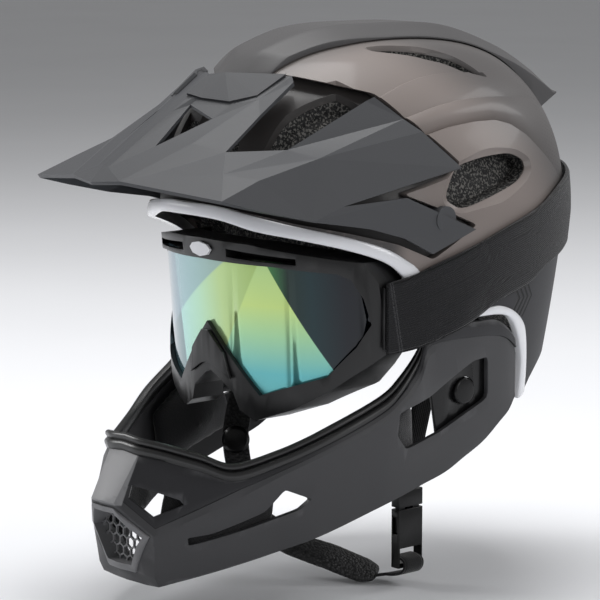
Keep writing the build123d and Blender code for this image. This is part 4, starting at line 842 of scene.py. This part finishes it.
# Comfort pads
# Brushed black fabric over soft foam, held to the liner by hook and loop. Each is a closed cushion,
# swollen by its foam, with crowned faces.
def fabric(name, colour, pitch, sheen=0.4, depth=0.00025):
    """Knitted or brushed cloth: a fine crossed weave, faint clouding and fuzz."""
    finish = Finish(name)
    x = finish.axis("X")
    y = finish.axis("Y")
    z = finish.axis("Z")
    first = ((x + y * 0.6) * (2 * pi / pitch)).maths("SINE")
    second = ((z + y * 0.5) * (2 * pi / pitch)).maths("SINE")
    weave = first * second * 0.2 + finish.noise(1100.0, 2.0)
    cloud = finish.noise(30.0)
    shade = finish.blend(weave * 0.6 + cloud * 0.3, times(colour, 0.55), times(colour, 1.35))
    finish.give(
        Base_Color=shade, Roughness=0.9, Specular_IOR_Level=0.2, Sheen_Weight=sheen,
        Sheen_Roughness=0.5, Normal=finish.bump(weave + finish.noise(900.0) * 0.5, depth))
    return finish


FILLING_PRESSURE = 4.0
FILLING_FRAMES = 20


def copy_of(node, name):
    return new_piece(name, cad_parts[node].data.copy())


def cushion(node, name, voxel=0.0028, swell=0.0016):
    """A padded copy of a CAD pad, remeshed, swollen by its filling and smoothed."""
    pad = copy_of(node, name)
    change(pad, "REMESH", mode="VOXEL", voxel_size=voxel)
    change(pad, "SMOOTH", factor=0.5, iterations=8)
    start = spots_of(pad)
    cloth = pad.modifiers.new("filling", "CLOTH")
    cloth.settings.use_pressure = True
    cloth.settings.uniform_pressure_force = FILLING_PRESSURE
    cloth.settings.effector_weights.gravity = 0.0
    for step in range(FILLING_FRAMES):
        bpy.context.scene.frame_set(step + 1)
    bpy.ops.object.modifier_apply(modifier=cloth.name)
    bpy.context.scene.frame_set(1)
    moved = spots_of(pad) - start
    far = np.linalg.norm(moved, axis=1, keepdims=True)
    moved *= np.minimum(1, swell / np.maximum(far, 1e-9))
    pad.data.vertices.foreach_set("co", (start + moved).ravel())
    change(pad, "SUBSURF", levels=1)
    softened(pad, 180)
    return pad


lining = fabric("pad_black", tone(34, 34, 36), 0.0012)
for node in ("brow_pad", "crown_pad", "side_pad_left", "side_pad_right", "rear_pad"):
    fitted(cushion(node, node + "_cushion"), lining, "shell", node)


# Peak
# The faceted visor over the face, one dark grey moulding with crisp creases. It hangs on a pin at
# each temple and rests in its bed in the shell. Its cover plates clip on top of it.
def mark_creases(piece):
    """Store 1 on the eased faces of raised edges, where a painted highlight goes, and 0 elsewhere, and
    give every face one material.
    """
    mesh = piece.data
    raised = np.zeros(len(mesh.polygons))
    touching = {}
    for face in mesh.polygons:
        for edge in face.edge_keys:
            touching.setdefault(edge, []).append(face)
    for face in mesh.polygons:
        if face.material_index:
            beside = [other for edge in face.edge_keys for other in touching[edge]]
            lean = sum((other.center - face.center).dot(face.normal) for other in beside)
            raised[face.index] = float(lean < 0)
    mesh.polygons.foreach_set("material_index", np.zeros(len(mesh.polygons), int))
    mark(piece, "raised", raised, "FACE")


def eased_copy(node, name, width=0.0, angle=25.0, segments=2, smooth=28.0, creases=False):
    """A merged copy of a CAD piece with its edges eased."""
    piece = merged(copy_of(node, name), 2e-6, 0.8)
    if width:
        piece.data.materials.clear()
        for slot in range(2 if creases else 1):
            piece.data.materials.append(None)
        ease(piece, width, angle, segments, 1 if creases else -1)
    if creases:
        mark_creases(piece)
    return softened(piece, smooth)


def crease_highlight(finish, shade):
    """Raised creases get a thin pale line, a painted highlight."""
    return finish.blend(finish.stored("raised") * 0.45, shade, tone(128, 129, 132))


# The peak's raised creases carry a painted highlight line.
peak_grey = moulded(
    "peak_grey", tone(66, 67, 70), 0.52, grain=0.00005, spread=0.03, rub_and_highlight=0.0, fade=crease_highlight)
for node, name, width, angle in (
        ("peak", "peak_visor", 0.0009, 9.0), ("peak_cover_left", "peak_plate_left", 0.0007, 15.0),
        ("peak_cover_right", "peak_plate_right", 0.0007, 15.0)):
    faceted = eased_copy(node, name, width, angle, segments=1, smooth=4.0, creases=True)
    fitted(faceted, peak_grey, "peak", node)


# Metal fittings
# Bright zinc plated steel: the peak's hinge pins and the riveted plates that hold the chin webs.
STEEL_EDGE = 0.0003


def eased_set(finish, width, angle, *rows):
    """Eased copies of one finish, each row naming a node, its visible piece and its body."""
    for node, name, body in rows:
        fitted(eased_copy(node, name, width, angle), finish, body, node)


steel = Finish("steel")
brush = steel.noise(60.0, 3.0, (1.0, 1.0, 14.0))
steel.give(
    Base_Color=steel.blend(brush, tone(158, 160, 164), tone(190, 192, 196)), Metallic=1.0,
    Roughness=0.28 + brush * 0.14, Normal=steel.bump(steel.noise(700.0), 0.00002))
for node, name in (("strap_anchor_left", "strap_anchor_left_plate"),
                   ("strap_anchor_right", "strap_anchor_right_plate"),
                   ("peak_pivot_pins", "peak_hinge_pins")):
    eased_set(steel, STEEL_EDGE, 30.0, (node, name, "shell"))


# Chin guard
# The removable bar round the jaw, a hollow dark moulding with a crisp ridge and a lower crease. It is
# pierced by a vent slot on each side, an inset vent beside the nose and an opening by each latch.
CHIN_COLUMNS = [
    [(0.000, -1.321, -1.119), (0.000, -1.445, -1.372), (0.000, -1.358, -1.706), (0.000, -1.314, -1.826)],
    [(0.119, -1.321, -1.128), (0.096, -1.438, -1.376), (0.110, -1.336, -1.743), (0.128, -1.292, -1.835)],
    [(0.239, -1.263, -1.147), (0.266, -1.332, -1.541), (0.239, -1.314, -1.771), (0.239, -1.292, -1.826)],
    [(0.394, -1.168, -1.193), (0.431, -1.197, -1.431), (0.394, -1.175, -1.702), (0.394, -1.153, -1.761)],
    [(0.528, -1.073, -1.239), (0.560, -1.066, -1.335), (0.514, -1.044, -1.651), (0.514, -1.022, -1.702)],
    [(0.656, -0.920, -1.174), (0.679, -0.927, -1.229), (0.596, -0.905, -1.606), (0.596, -0.883, -1.651)],
    [(0.780, -0.730, -1.064), (0.794, -0.730, -1.115), (0.697, -0.745, -1.541), (0.697, -0.715, -1.583)],
    [(0.867, -0.515, -0.936), (0.883, -0.518, -0.995), (0.771, -0.482, -1.431), (0.761, -0.460, -1.482)],
    [(0.899, -0.420, -0.844), (0.916, -0.423, -0.913), (0.789, -0.365, -1.399), (0.780, -0.336, -1.436)],
    [(0.908, -0.321, -0.697), (0.934, -0.332, -0.798), (0.798, -0.219, -1.353), (0.789, -0.197, -1.385)],
    [(0.913, -0.277, -0.550), (0.939, -0.274, -0.651), (0.807, -0.088, -1.312), (0.798, -0.073, -1.339)],
    [(0.953, -0.161, -0.491), (0.941, -0.161, -0.624), (0.817, 0.015, -1.248), (0.807, 0.029, -1.275)],
    [(0.963, -0.036, -0.503), (0.950, -0.029, -0.624), (0.826, 0.124, -1.179), (0.817, 0.139, -1.202)],
    [(0.960, 0.080, -0.506), (0.940, 0.095, -0.633), (0.839, 0.205, -1.092), (0.835, 0.219, -1.110)],
    [(0.947, 0.155, -0.543), (0.925, 0.188, -0.661), (0.839, 0.272, -1.028), (0.835, 0.279, -1.050)],
    [(0.920, 0.226, -0.606), (0.893, 0.270, -0.725), (0.838, 0.312, -0.954), (0.835, 0.316, -0.977)],
]
CHIN_WALL = 0.003
RIDGE_BAND = 0.0042
RIDGE_STEP = 0.0013
STEP_SLOPE = 0.0006
FACE_COLUMNS = 5
NOSE_COLUMNS = 4
CHIN_STEPS = 6
IN_SHARES = np.array([SHELL_HALF_WIDTH, SHELL_HALF_LENGTH, CROWN_HEIGHT])


def chin_corners(inset):
    """Corners of the guard's skin on the left half, moved in from outside."""
    columns = np.array(CHIN_COLUMNS) * IN_SHARES
    before = np.concatenate([columns[1:2] * (-1, 1, 1), columns[:-1]])
    after = np.concatenate([columns[1:], columns[-1:]])
    down = columns[:, [1, 2, 3, 3]] - columns[:, [0, 0, 1, 2]]
    normals = unit(np.cross(after - before, down))
    for i, row in enumerate(normals):
        flip = row[:, 1] > 0 if i < FACE_COLUMNS else row[:, 0] < 0
        row[flip] *= -1
    normals[0, :, 0] = 0
    return columns - unit(normals) * inset


def chin_flow(inset):
    """The guard's skin from the right rear to the left rear, smooth but for the nose's facets."""
    corners = chin_corners(inset)
    rows = []
    for j in range(4):
        bend = flowing(corners[2:, j], CHIN_STEPS)
        nose = [corners[i, j] + (corners[i + 1, j] - corners[i, j]) * t
                for i in (0, 1) for t in (0, 0.5)]
        rows.append(np.concatenate([nose, bend]))
    grid = np.stack(rows, 1)
    face = grid[:, 1] - grid[:, 0]
    fall = np.linalg.norm(face, axis=1)[:, None]
    side = np.clip(np.arange(len(grid)) / NOSE_COLUMNS - 1, 0, 1)[:, None]
    sunk = unit(np.cross(np.gradient(grid[:, 0], axis=0), face)) * -RIDGE_STEP * side
    step_top = np.maximum(1 - (RIDGE_BAND + STEP_SLOPE) / fall, 0.55)
    step_low = np.maximum(1 - RIDGE_BAND / fall, 0.58)
    levels = [grid[:, 0]]
    for t in (0.2, 0.4, step_top * 0.8, step_top):
        levels.append(grid[:, 0] + face * t + sunk)
    levels.append(grid[:, 0] + face * step_low)
    for j in (1, 2):
        for t in (0, 0.25, 0.5, 0.75):
            levels.append(grid[:, j] + (grid[:, j + 1] - grid[:, j]) * t)
    levels.append(grid[:, 3])
    half = np.stack(levels, 1)
    return np.concatenate([half[:0:-1] * (-1, 1, 1), half])


CHIN_SLOT = [
    (-1.219, -1.595), (-1.226, -1.550), (-1.146, -1.528), (-0.964, -1.420), (-0.898, -1.303),
    (-0.781, -1.367), (-0.825, -1.423),
]
CHIN_HOLE = [
    (-0.424, -0.939), (-0.412, -1.073), (-0.343, -1.160), (-0.142, -1.096), (0.117, -0.950),
    (0.073, -0.711), (-0.012, -0.720), (-0.231, -0.881),
]
NOSE_OPENING = [(0.088, -1.400), (0.245, -1.545), (0.112, -1.765)]
NOSE_FRONT = -0.23
NOSE_REAR = -0.16
INSET_VENT = [(-0.116, 0.092), (-0.130, 0.028), (0.000, -0.069), (0.165, 0.002), (0.142, 0.027)]
INSET_MIDDLE = np.array((0.248, -1.328, -1.376)) * IN_SHARES
INSET_ALONG = unit(np.array((0.73, 0.68, 0)))
INSET_THROUGH = unit(np.array((0.68, -0.73, 0)))
INSET_REACH = 0.015
CHIN_ROUNDING = 0.12
FACET_HALF = 0.0138
FACET_FRONT = -0.150
FACET_LOW = -0.1515


def nose_tool(outline):
    left = scaled(outline, SHELL_HALF_WIDTH, CROWN_HEIGHT)
    ring = left + [(-x, z) for x, z in left[::-1]]
    return rings_of("tool", [[(x, y, z) for x, z in ring] for y in (NOSE_FRONT, NOSE_REAR)])


def inset_tool(side):
    """A tool for the small vent beside the nose, square to the guard's face there."""
    return rings_of("tool", [[
        (INSET_MIDDLE + INSET_ALONG * u * SHELL_HALF_WIDTH + np.array((0, 0, v * CROWN_HEIGHT))
         + INSET_THROUGH * depth) * (side, 1, 1) for u, v in INSET_VENT]
        for depth in (-INSET_REACH, INSET_REACH)])


skin = chin_flow(0.0)
lining_side = chin_flow(CHIN_WALL)
guard = skin_between("chin_guard_moulding", skin, lining_side)
carve(guard, nose_tool(NOSE_OPENING))
for outline in (CHIN_SLOT, CHIN_HOLE):
    carve(guard, side_slab(rounded(in_metres(outline), CHIN_ROUNDING, 3)))
carve(guard, inset_tool(1), inset_tool(-1))
ease(guard, 0.0006, 24)
softened(guard, 26)


def above_ridge(points, line):
    """1 for each point above the step over the guard's ridge, whose middle is the line, else 0."""
    flat = np.stack([np.abs(points[:, 0]), points[:, 1]], 1)
    first, run = line[:-1], line[1:] - line[:-1]
    share = ((flat[:, None] - first[None, :, :2]) * run[None, :, :2]).sum(2)
    share = np.clip(share / (run[:, :2] ** 2).sum(1), 0, 1)
    spot = first[None] + run[None] * share[..., None]
    near = np.linalg.norm(flat[:, None] - spot[..., :2], axis=2).argmin(1)
    return (points[:, 2] > spot[np.arange(len(points)), near, 2]).astype(float)


def guard_painted_light(finish, shade):
    """Painted light and shade: the nose facet is painted paler as if lit, the facet above the ridge is
    painted darker as shade and the step between gets a painted dark shade line.
    """
    x = abs(finish.axis("X"))
    y = finish.axis("Y")
    z = finish.axis("Z")
    above = finish.stored("above")
    # Painted shade: the facet above the ridge is darkened and the step gets a dark line.
    dark_line = finish.rise(above, 0.02, 0.2) * (1 - finish.rise(above, 0.8, 0.98))
    shade = finish.blend(above * 0.9, shade, tone(36, 36, 39))
    shade = finish.blend(dark_line * 0.9, shade, tone(8, 8, 9))
    # Painted highlight: the nose facet is made paler.
    nose = finish.rise(FACET_HALF - x, 0.0, 0.0006) * finish.rise(FACET_FRONT - y, 0.0, 0.004)
    nose = nose * finish.rise(z, FACET_LOW, FACET_LOW + 0.001)
    return finish.blend(nose, shade, tone(128, 128, 130))


mark(guard, "above", above_ridge(spots_of(guard), skin[len(skin) // 2:, 4:6].mean(1)))
guard_grey = moulded(
    "guard_grey", tone(60, 60, 62), 0.46, grain=0.00005, spread=0.06, gloss=0.35, fade=guard_painted_light)
fitted(guard, guard_grey, "chin_guard", "chin_guard")


# Intake bezel and net
# A pale grey frame that lines the nose intake, with a punched honeycomb screen behind it.
MOULDED_EDGE = 0.0004
bezel_grey = moulded("bezel_grey", tone(112, 112, 114), 0.42, spread=0.05, gloss=0.4)
eased_set(bezel_grey, MOULDED_EDGE, 25.0, ("intake_bezel", "intake_frame", "chin_guard"))
net = eased_copy("intake_net", "intake_honeycomb", 0.00015, 40.0, segments=1)
fitted(net, bezel_grey, "chin_guard", "intake_net")


# Rim bead
# A soft black rubber extrusion with two rolls, pushed over the guard's top edge.
BEAD_SECTION = [
    (-0.12, -1.05), (-0.12, 0.22), (0.0, 0.44), (0.10, 0.62), (0.22, 0.70), (0.34, 0.62), (0.44, 0.45),
    (0.52, 0.12), (0.58, 0.42), (0.68, 0.64), (0.80, 0.68), (0.92, 0.52), (1.00, 0.20),
    (1.00, -0.60), (0.80, -0.98), (0.55, -1.20),
]
BEAD_HEIGHT = 0.009
BEAD_DEPTH = 0.0034
BEAD_ENDS = slice(30, -30)
rings = []
for column, under in zip(skin[BEAD_ENDS], lining_side[BEAD_ENDS]):
    out = unit(column[0] - under[0])
    up = unit(unit(column[0] - column[3]) + (0, 0, 1))
    rings.append([column[0] + up * a * BEAD_HEIGHT + out * b * BEAD_DEPTH for a, b in BEAD_SECTION])
bead = rings_of("rim_bead_extrusion", rings)
softened(bead, 50)
rubber = Finish("bead_rubber")
bloom = rubber.noise(40.0)
pebble = rubber.noise(1200.0, 2.0)
rubber.give(
    Base_Color=rubber.blend(bloom, tone(14, 14, 15), tone(22, 22, 23)),
    Roughness=0.30 + pebble * 0.10, Specular_IOR_Level=0.6, Normal=rubber.bump(pebble, 0.00003))
fitted(bead, rubber, "chin_guard", "rim_bead")


# Pads in the chin guard
# Grained black foam at the front and brushed cheek pads at the sides, snapped into the guard.
grained = fabric("foam_grained", tone(30, 30, 31), 0.0021, sheen=0.2, depth=0.0003)
fitted(cushion("chin_foam", "chin_foam_pads", 0.0024, 0.0008), grained, "chin_guard", "chin_foam")
for node in ("cheek_pad_left", "cheek_pad_right"):
    fitted(cushion(node, node + "_cushion", swell=0.0012), lining, "chin_guard", node)


# Latches
# Gloss black moulded plates behind the rear openings, each with a sprung button.
gloss_black = moulded(
    "clip_black", tone(8, 8, 9), 0.30, grain=0.00001, spread=0.1, coat=0.1, gloss=0.25)
for side in ("_left", "_right"):
    eased_set(gloss_black, MOULDED_EDGE, 25.0,
              ("latch_plate" + side, "latch_back" + side, "chin_guard"),
              ("latch_button" + side, "latch_cap" + side, "latch_button" + side))


# Goggles
# A flexible black frame with a moulded slot on its brow, a nose guard and a blank white tab. A
# mirrored cylindrical lens snaps into its groove, and foam lines its rear.
frame_black = moulded(
    "frame_black", tone(22, 22, 23), 0.34, grain=0.00003, spread=0.12, gloss=0.45)
PLATE_CUT = 0.2
PLATE_CUT_MIDDLE = -0.1685
eased_set(frame_black, 0.0006, 25.0, ("goggle_frame", "goggle_body", "goggles"))
eased_set(frame_black, 0.0005, 25.0, ("nose_guard", "goggle_nose_guard", "goggles"))
tab = eased_copy("lens_tab", "goggle_tab", 0.0001, segments=1, smooth=5.0)
fitted(tab, white, "goggles", "lens_tab")
for side in ("left", "right"):
    plate = eased_copy("outrigger_" + side, "strap_plate_" + side)
    bpy.ops.mesh.primitive_cube_add(size=PLATE_CUT, location=(0, PLATE_CUT_MIDDLE, 0))
    carve(plate, bpy.context.object)
    ease(plate, 0.0005, 25)
    fitted(softened(plate, 28), frame_black, "goggles", "outrigger_" + side)
fitted(cushion("goggle_face_foam", "goggle_foam", 0.0020, 0.0006), grained, "goggles",
       "goggle_face_foam")
dress(grained, "goggle_vent_foam")


def lens_coating_and_reflection(finish):
    """The lens's colours: broad bands of the coating's aqua and yellow green, then deep teal near the
    left, with a painted reflection over them, a bright wedge and a dark side beyond it.
    """
    x = finish.axis("X") * 1000.0
    z = finish.axis("Z") * 1000.0
    slope = x + (z + 16.0) * 0.1
    shade = finish.ramp(
        (slope + 60.0) / 110.0, (0.0, tone(150, 185, 190)), (0.16, tone(160, 214, 210)),
        (0.42, tone(176, 218, 188)), (0.62, tone(186, 214, 148)), (0.86, tone(170, 200, 118)))
    far = 1 - finish.rise(x + (z + 18.0) * 0.12, -40.5, -38.5)
    shade = finish.blend(far * 0.82, shade, tone(48, 84, 98))
    rim = 1 - finish.rise(x - (z + 69.0) * 1.4, -58.0, -55.0)
    shade = finish.blend(rim * 0.7, shade, tone(132, 160, 176))
    # Painted reflection: a bright wedge.
    left = finish.rise(x - 37.3 - (z + 18.9) * 0.51, -0.6, 0.6)
    painted_reflection_band = finish.ramp(
        (z + 82.0) / 66.0, (0.0, tone(84, 190, 206)), (0.35, tone(170, 222, 172)),
        (0.6, tone(206, 232, 140)), (1.0, tone(186, 222, 150)))
    shade = finish.blend(left * 0.85, shade, painted_reflection_band)
    # Painted reflection: the dark side beyond the wedge.
    right = finish.rise(x - 42.5 + (z + 18.6) * 0.50, 0.3, 0.9)
    deep = finish.ramp(
        (x - 44.0) / 50.0, (0.0, tone(60, 124, 66)), (0.12, tone(38, 84, 52)),
        (0.20, tone(12, 40, 34)), (0.42, tone(8, 44, 50)), (0.7, tone(6, 14, 26)), (1.0, tone(4, 6, 12)))
    return finish.blend(right, shade, deep)


mirror = Finish("lens_mirror")
mirror.give(
    Base_Color=lens_coating_and_reflection(mirror), Metallic=0.55, Roughness=0.13, Coat_Weight=0.5,
    Coat_Roughness=0.03, Normal=mirror.bump(mirror.noise(25.0, 1.0), 0.00003))
fitted(eased_copy("goggle_lens", "goggle_mirror_lens", smooth=40.0), mirror, "goggles", "goggle_lens")


# Goggle strap
# A wide elastic band woven in fine ribs, with bound edges and a stitched front end. It goes round
# the shell and hooks to a plate on each side of the goggles.
STRAP_FRONT = [
    (0.885, -0.489, -0.248, -0.624), (0.927, -0.372, -0.211, -0.606),
    (0.962, -0.263, -0.156, -0.569), (0.989, -0.131, -0.101, -0.514),
]
STRAP_TOP = [(0.0, -0.046), (0.124, 0.006), (0.358, 0.083), (0.591, 0.174), (1.02, 0.257)]
STRAP_LOW = [(0.0, -0.450), (0.095, -0.394), (0.299, -0.336), (0.474, -0.248), (1.02, -0.138)]
STRAP_ROWS = 26
STRAP_COLUMNS = 40
STRAP_THICKNESS = 0.0022
STRAP_STANDOFF = 0.0023
SEAM_FROM_MIDDLE = 0.0195
STITCH_ROWS = (0.004, 0.0055)


def strap_half(standoff):
    """The strap's surface on the left half, from its front end to the middle behind."""
    top_line = flowing(in_metres(STRAP_TOP), 6)
    low_line = flowing(in_metres(STRAP_LOW), 6)
    share = np.linspace(0, 1, STRAP_ROWS)
    columns = []
    for x, y, top, low in STRAP_FRONT:
        z = (top + (low - top) * share) * CROWN_HEIGHT
        spot = np.full(STRAP_ROWS, y * SHELL_HALF_LENGTH)
        reach = np.maximum(x * SHELL_HALF_WIDTH, side_reach(spot, z) + STRAP_STANDOFF)
        columns.append(np.stack([reach + standoff - STRAP_STANDOFF, spot, z], 1))
    for angle in np.radians(np.linspace(0, 90, STRAP_COLUMNS)):
        y = SHELL_HALF_LENGTH * sin(angle)
        top = np.interp(y, top_line[:, 0], top_line[:, 1])
        low = np.interp(y, low_line[:, 0], low_line[:, 1])
        z = top + (low - top) * share
        wide, long = section(z, -standoff)
        columns.append(np.stack([wide * cos(angle), long * sin(angle), z], 1))
    front = flowing(np.array(columns[:5]).reshape(5, -1), 6)[:-1].reshape(-1, STRAP_ROWS, 3)
    return np.concatenate([front, np.array(columns[4:])])


edge_bulge = np.zeros((STRAP_ROWS, 1))
edge_bulge[[0, -1]] = -0.0006
edge_bulge[[1, -2]] = 0.0001
outer = strap_half(STRAP_STANDOFF + STRAP_THICKNESS)
outer = outer + outward(outer) * edge_bulge
inner = strap_half(STRAP_STANDOFF)
outer, inner = (np.concatenate([half[:-1] * (-1, 1, 1), half[::-1]]) for half in (outer, inner))
strap = skin_between("goggle_strap_elastic", outer, inner)
softened(strap, 50)


def lay_flat(piece, path, edge):
    """A UV map in metres: along the band, and across it."""
    points = spots_of(piece)
    near = np.linalg.norm(points[:, None] - path[None], axis=2).argmin(1)
    last = len(path) - 1
    slope = unit(path[np.clip(near + 1, 0, last)] - path[np.clip(near - 1, 0, last)])
    along = run_along(path)[near] + ((points - path[near]) * slope).sum(1)
    across = ((points - path[near]) * edge[near]).sum(1)
    layer = piece.data.uv_layers.new(name="weave")
    for loop in piece.data.loops:
        layer.data[loop.index].uv = (along[loop.vertex_index], across[loop.vertex_index])


path = (outer[:, 0] + outer[:, -1]) / 2
lay_flat(strap, path, unit(outer[:, 0] - outer[:, -1]))


def woven(name, colour, rib, cross, binding, ends=()):
    """Woven webbing: ribs along it, cross threads, bound edges and rows of stitches at its ends."""
    finish = Finish(name)
    spot = finish.node("ShaderNodeUVMap", {"uv_map": "weave"})
    along = finish.axis("X", spot)
    across = finish.axis("Y", spot)
    ribs = abs((across * (pi / rib)).maths("SINE"))
    shift = (across / rib).maths("FLOOR") * (cross * 0.5)
    threads = abs(((along + shift) * (pi / cross)).maths("SINE"))
    knit = ribs * 0.6 + threads * 0.4
    fuzz = finish.noise(GRAIN_SCALE)
    shade = finish.blend(knit * 0.7 + fuzz * 0.3, times(colour, 0.35), times(colour, 1.6))
    dark_line = 1 - finish.rise(abs(abs(across) - binding), 0.0003, 0.0007)
    height = knit - dark_line * 0.9
    shade = finish.blend(dark_line * 0.6, shade, times(colour, 0.3))
    for end in ends:
        gap = abs(along - end)
        stitch = finish.rise(threads, 0.2, 0.5) * (1 - finish.rise(gap, 0.0003, 0.0006))
        height = height + stitch * 1.2
        shade = finish.blend(stitch * 0.7, shade, times(colour, 3.0, 0.01))
    finish.give(
        Base_Color=shade, Roughness=0.85, Specular_IOR_Level=0.25, Sheen_Weight=0.25,
        Sheen_Roughness=0.4, Normal=finish.bump(height, 0.0003))
    return finish


def stretched(piece, finish, node):
    """Give a band its finish, bake its placing into its points and hide its CAD node."""
    piece.data.materials.append(finish.material)
    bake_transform(piece)
    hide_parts(node)


strap_end = run_along(path)[-1]
stitches = [place for row in STITCH_ROWS for place in (row, strap_end - row)]
elastic = woven("strap_black", tone(27, 27, 29), 0.0013, 0.0009, SEAM_FROM_MIDDLE, stitches)
stretched(strap, elastic, "goggle_strap")


# Chin strap
# Black webbing that hangs from a riveted plate on each side and meets under the chin, where a padded
# sleeve with a pebbled cover is slid over it. A domed snap closes the far side's keeper.
WEB_SECTION = [
    (-1.0, 0.0), (-0.97, 0.7), (-0.9, 1.0), (-0.45, 1.0), (0.0, 1.0), (0.45, 1.0), (0.9, 1.0),
    (0.97, 0.7), (1.0, 0.0), (0.97, -0.7), (0.9, -1.0), (0.45, -1.0), (0.0, -1.0), (-0.45, -1.0),
    (-0.9, -1.0), (-0.97, -0.7),
]
WEB_WIDTH = 0.016
WEB_THICKNESS = 0.0018
WEB_STEPS = 8
NEAR_WEB = [
    (0.0878, -0.0140, -0.0420), (0.0876, -0.0140, -0.0578), (0.0769, -0.0149, -0.0905),
    (0.0671, -0.0153, -0.1254), (0.0609, -0.0155, -0.1500), (0.0600, -0.0155, -0.1597),
]
FAR_WEB = [
    (-0.0878, -0.0140, -0.0420), (-0.0876, -0.0140, -0.0578), (-0.0763, -0.0240, -0.0894),
    (-0.0600, -0.0449, -0.1220), (-0.0500, -0.0570, -0.1417), (-0.0400, -0.0600, -0.1650),
    (-0.0297, -0.0581, -0.1833),
]
FAR_WIDTHS = [(0, 1, 0), (0, 1, 0), (0.2, 1, 0), (0.45, 0.9, 0), (0.6, 0.8, 0), (0.4, 0.9, 0), (0.3, 1, 0)]
LOW_WEB = [
    (0.0427, -0.0219, -0.2153), (0.0491, -0.0178, -0.2136), (0.0567, -0.0158, -0.2120),
    (0.0627, -0.0155, -0.2099), (0.0656, -0.0155, -0.2066), (0.0654, -0.0155, -0.2030),
    (0.0616, -0.0155, -0.2012), (0.0556, -0.0155, -0.2012),
]
LOW_WIDTHS = [(0.2, 1, 0)] * 2 + [(0, 1, 0)] * 6


def ribbon(name, path, widths):
    """Flat webbing along a smooth path, with rounded edges and a map for its weave."""
    path = flowing(path, WEB_STEPS)
    widths = flowing(widths, WEB_STEPS)
    along = unit(np.gradient(path, axis=0))
    side = unit(widths - along * (widths * along).sum(1, keepdims=True))
    rings = [
        [spot + across * u * WEB_WIDTH / 2 + lift * v * WEB_THICKNESS / 2 for u, v in WEB_SECTION]
        for spot, across, lift in zip(path, side, np.cross(side, along))]
    piece = softened(rings_of(name, rings), 60)
    lay_flat(piece, path, side)
    return piece


webbing = woven("web_black", tone(27, 27, 28), 0.0016, 0.0010, 0.0068)
near_web = ribbon("chin_web_near", NEAR_WEB, [(0, 1, 0)] * 6)
stretched(near_web, webbing,
          "chin_web_left")
low_web = ribbon("chin_web_loop", LOW_WEB, LOW_WIDTHS)
fitted(low_web, webbing, "shell", "chin_web_lower")

pebbled = Finish("web_pebbled")
grain = pebbled.cells(620.0)
pebbled.give(
    Base_Color=pebbled.ramp(grain, (0.0, tone(52, 52, 53)), (0.8, tone(14, 14, 15))),
    Roughness=0.55, Specular_IOR_Level=0.4, Normal=pebbled.bump(grain * -1.0, 0.0006))
far_web = ribbon("chin_web_far", FAR_WEB, FAR_WIDTHS)
fitted(far_web, pebbled, "shell", "chin_web_right")
fitted(cushion("chin_sleeve", "chin_sleeve_pad", 0.0016, 0.0006), pebbled, "shell", "chin_sleeve")
eased_set(gloss_black, 0.0005, 30.0, ("strap_stud", "strap_snap", "shell"))


# Buckle
# A side release buckle of gloss black acetal: the socket with its strap loop, and the plug, whose two
# sprung prongs show in the socket's windows.
for node, body in (("buckle_socket", "shell"), ("buckle_plug", "buckle_plug"),
                   ("buckle_prong_front", "buckle_prong_front"),
                   ("buckle_prong_rear", "buckle_prong_rear")):
    eased_set(gloss_black, MOULDED_EDGE, 30.0, (node, node + "_moulding", body))


# Fit system
# A flexible black cradle behind the nape, drawn in by a ribbed dial that turns on a fixed housing.
for node, body in (("fit_band", "fit_cradle"), ("fit_housing", "fit_cradle"), ("fit_dial", "fit_dial"),
                   ("band_runner_left", "shell"), ("band_runner_right", "shell")):
    eased_set(gloss_black, MOULDED_EDGE, 30.0, (node, node + "_moulding", body))
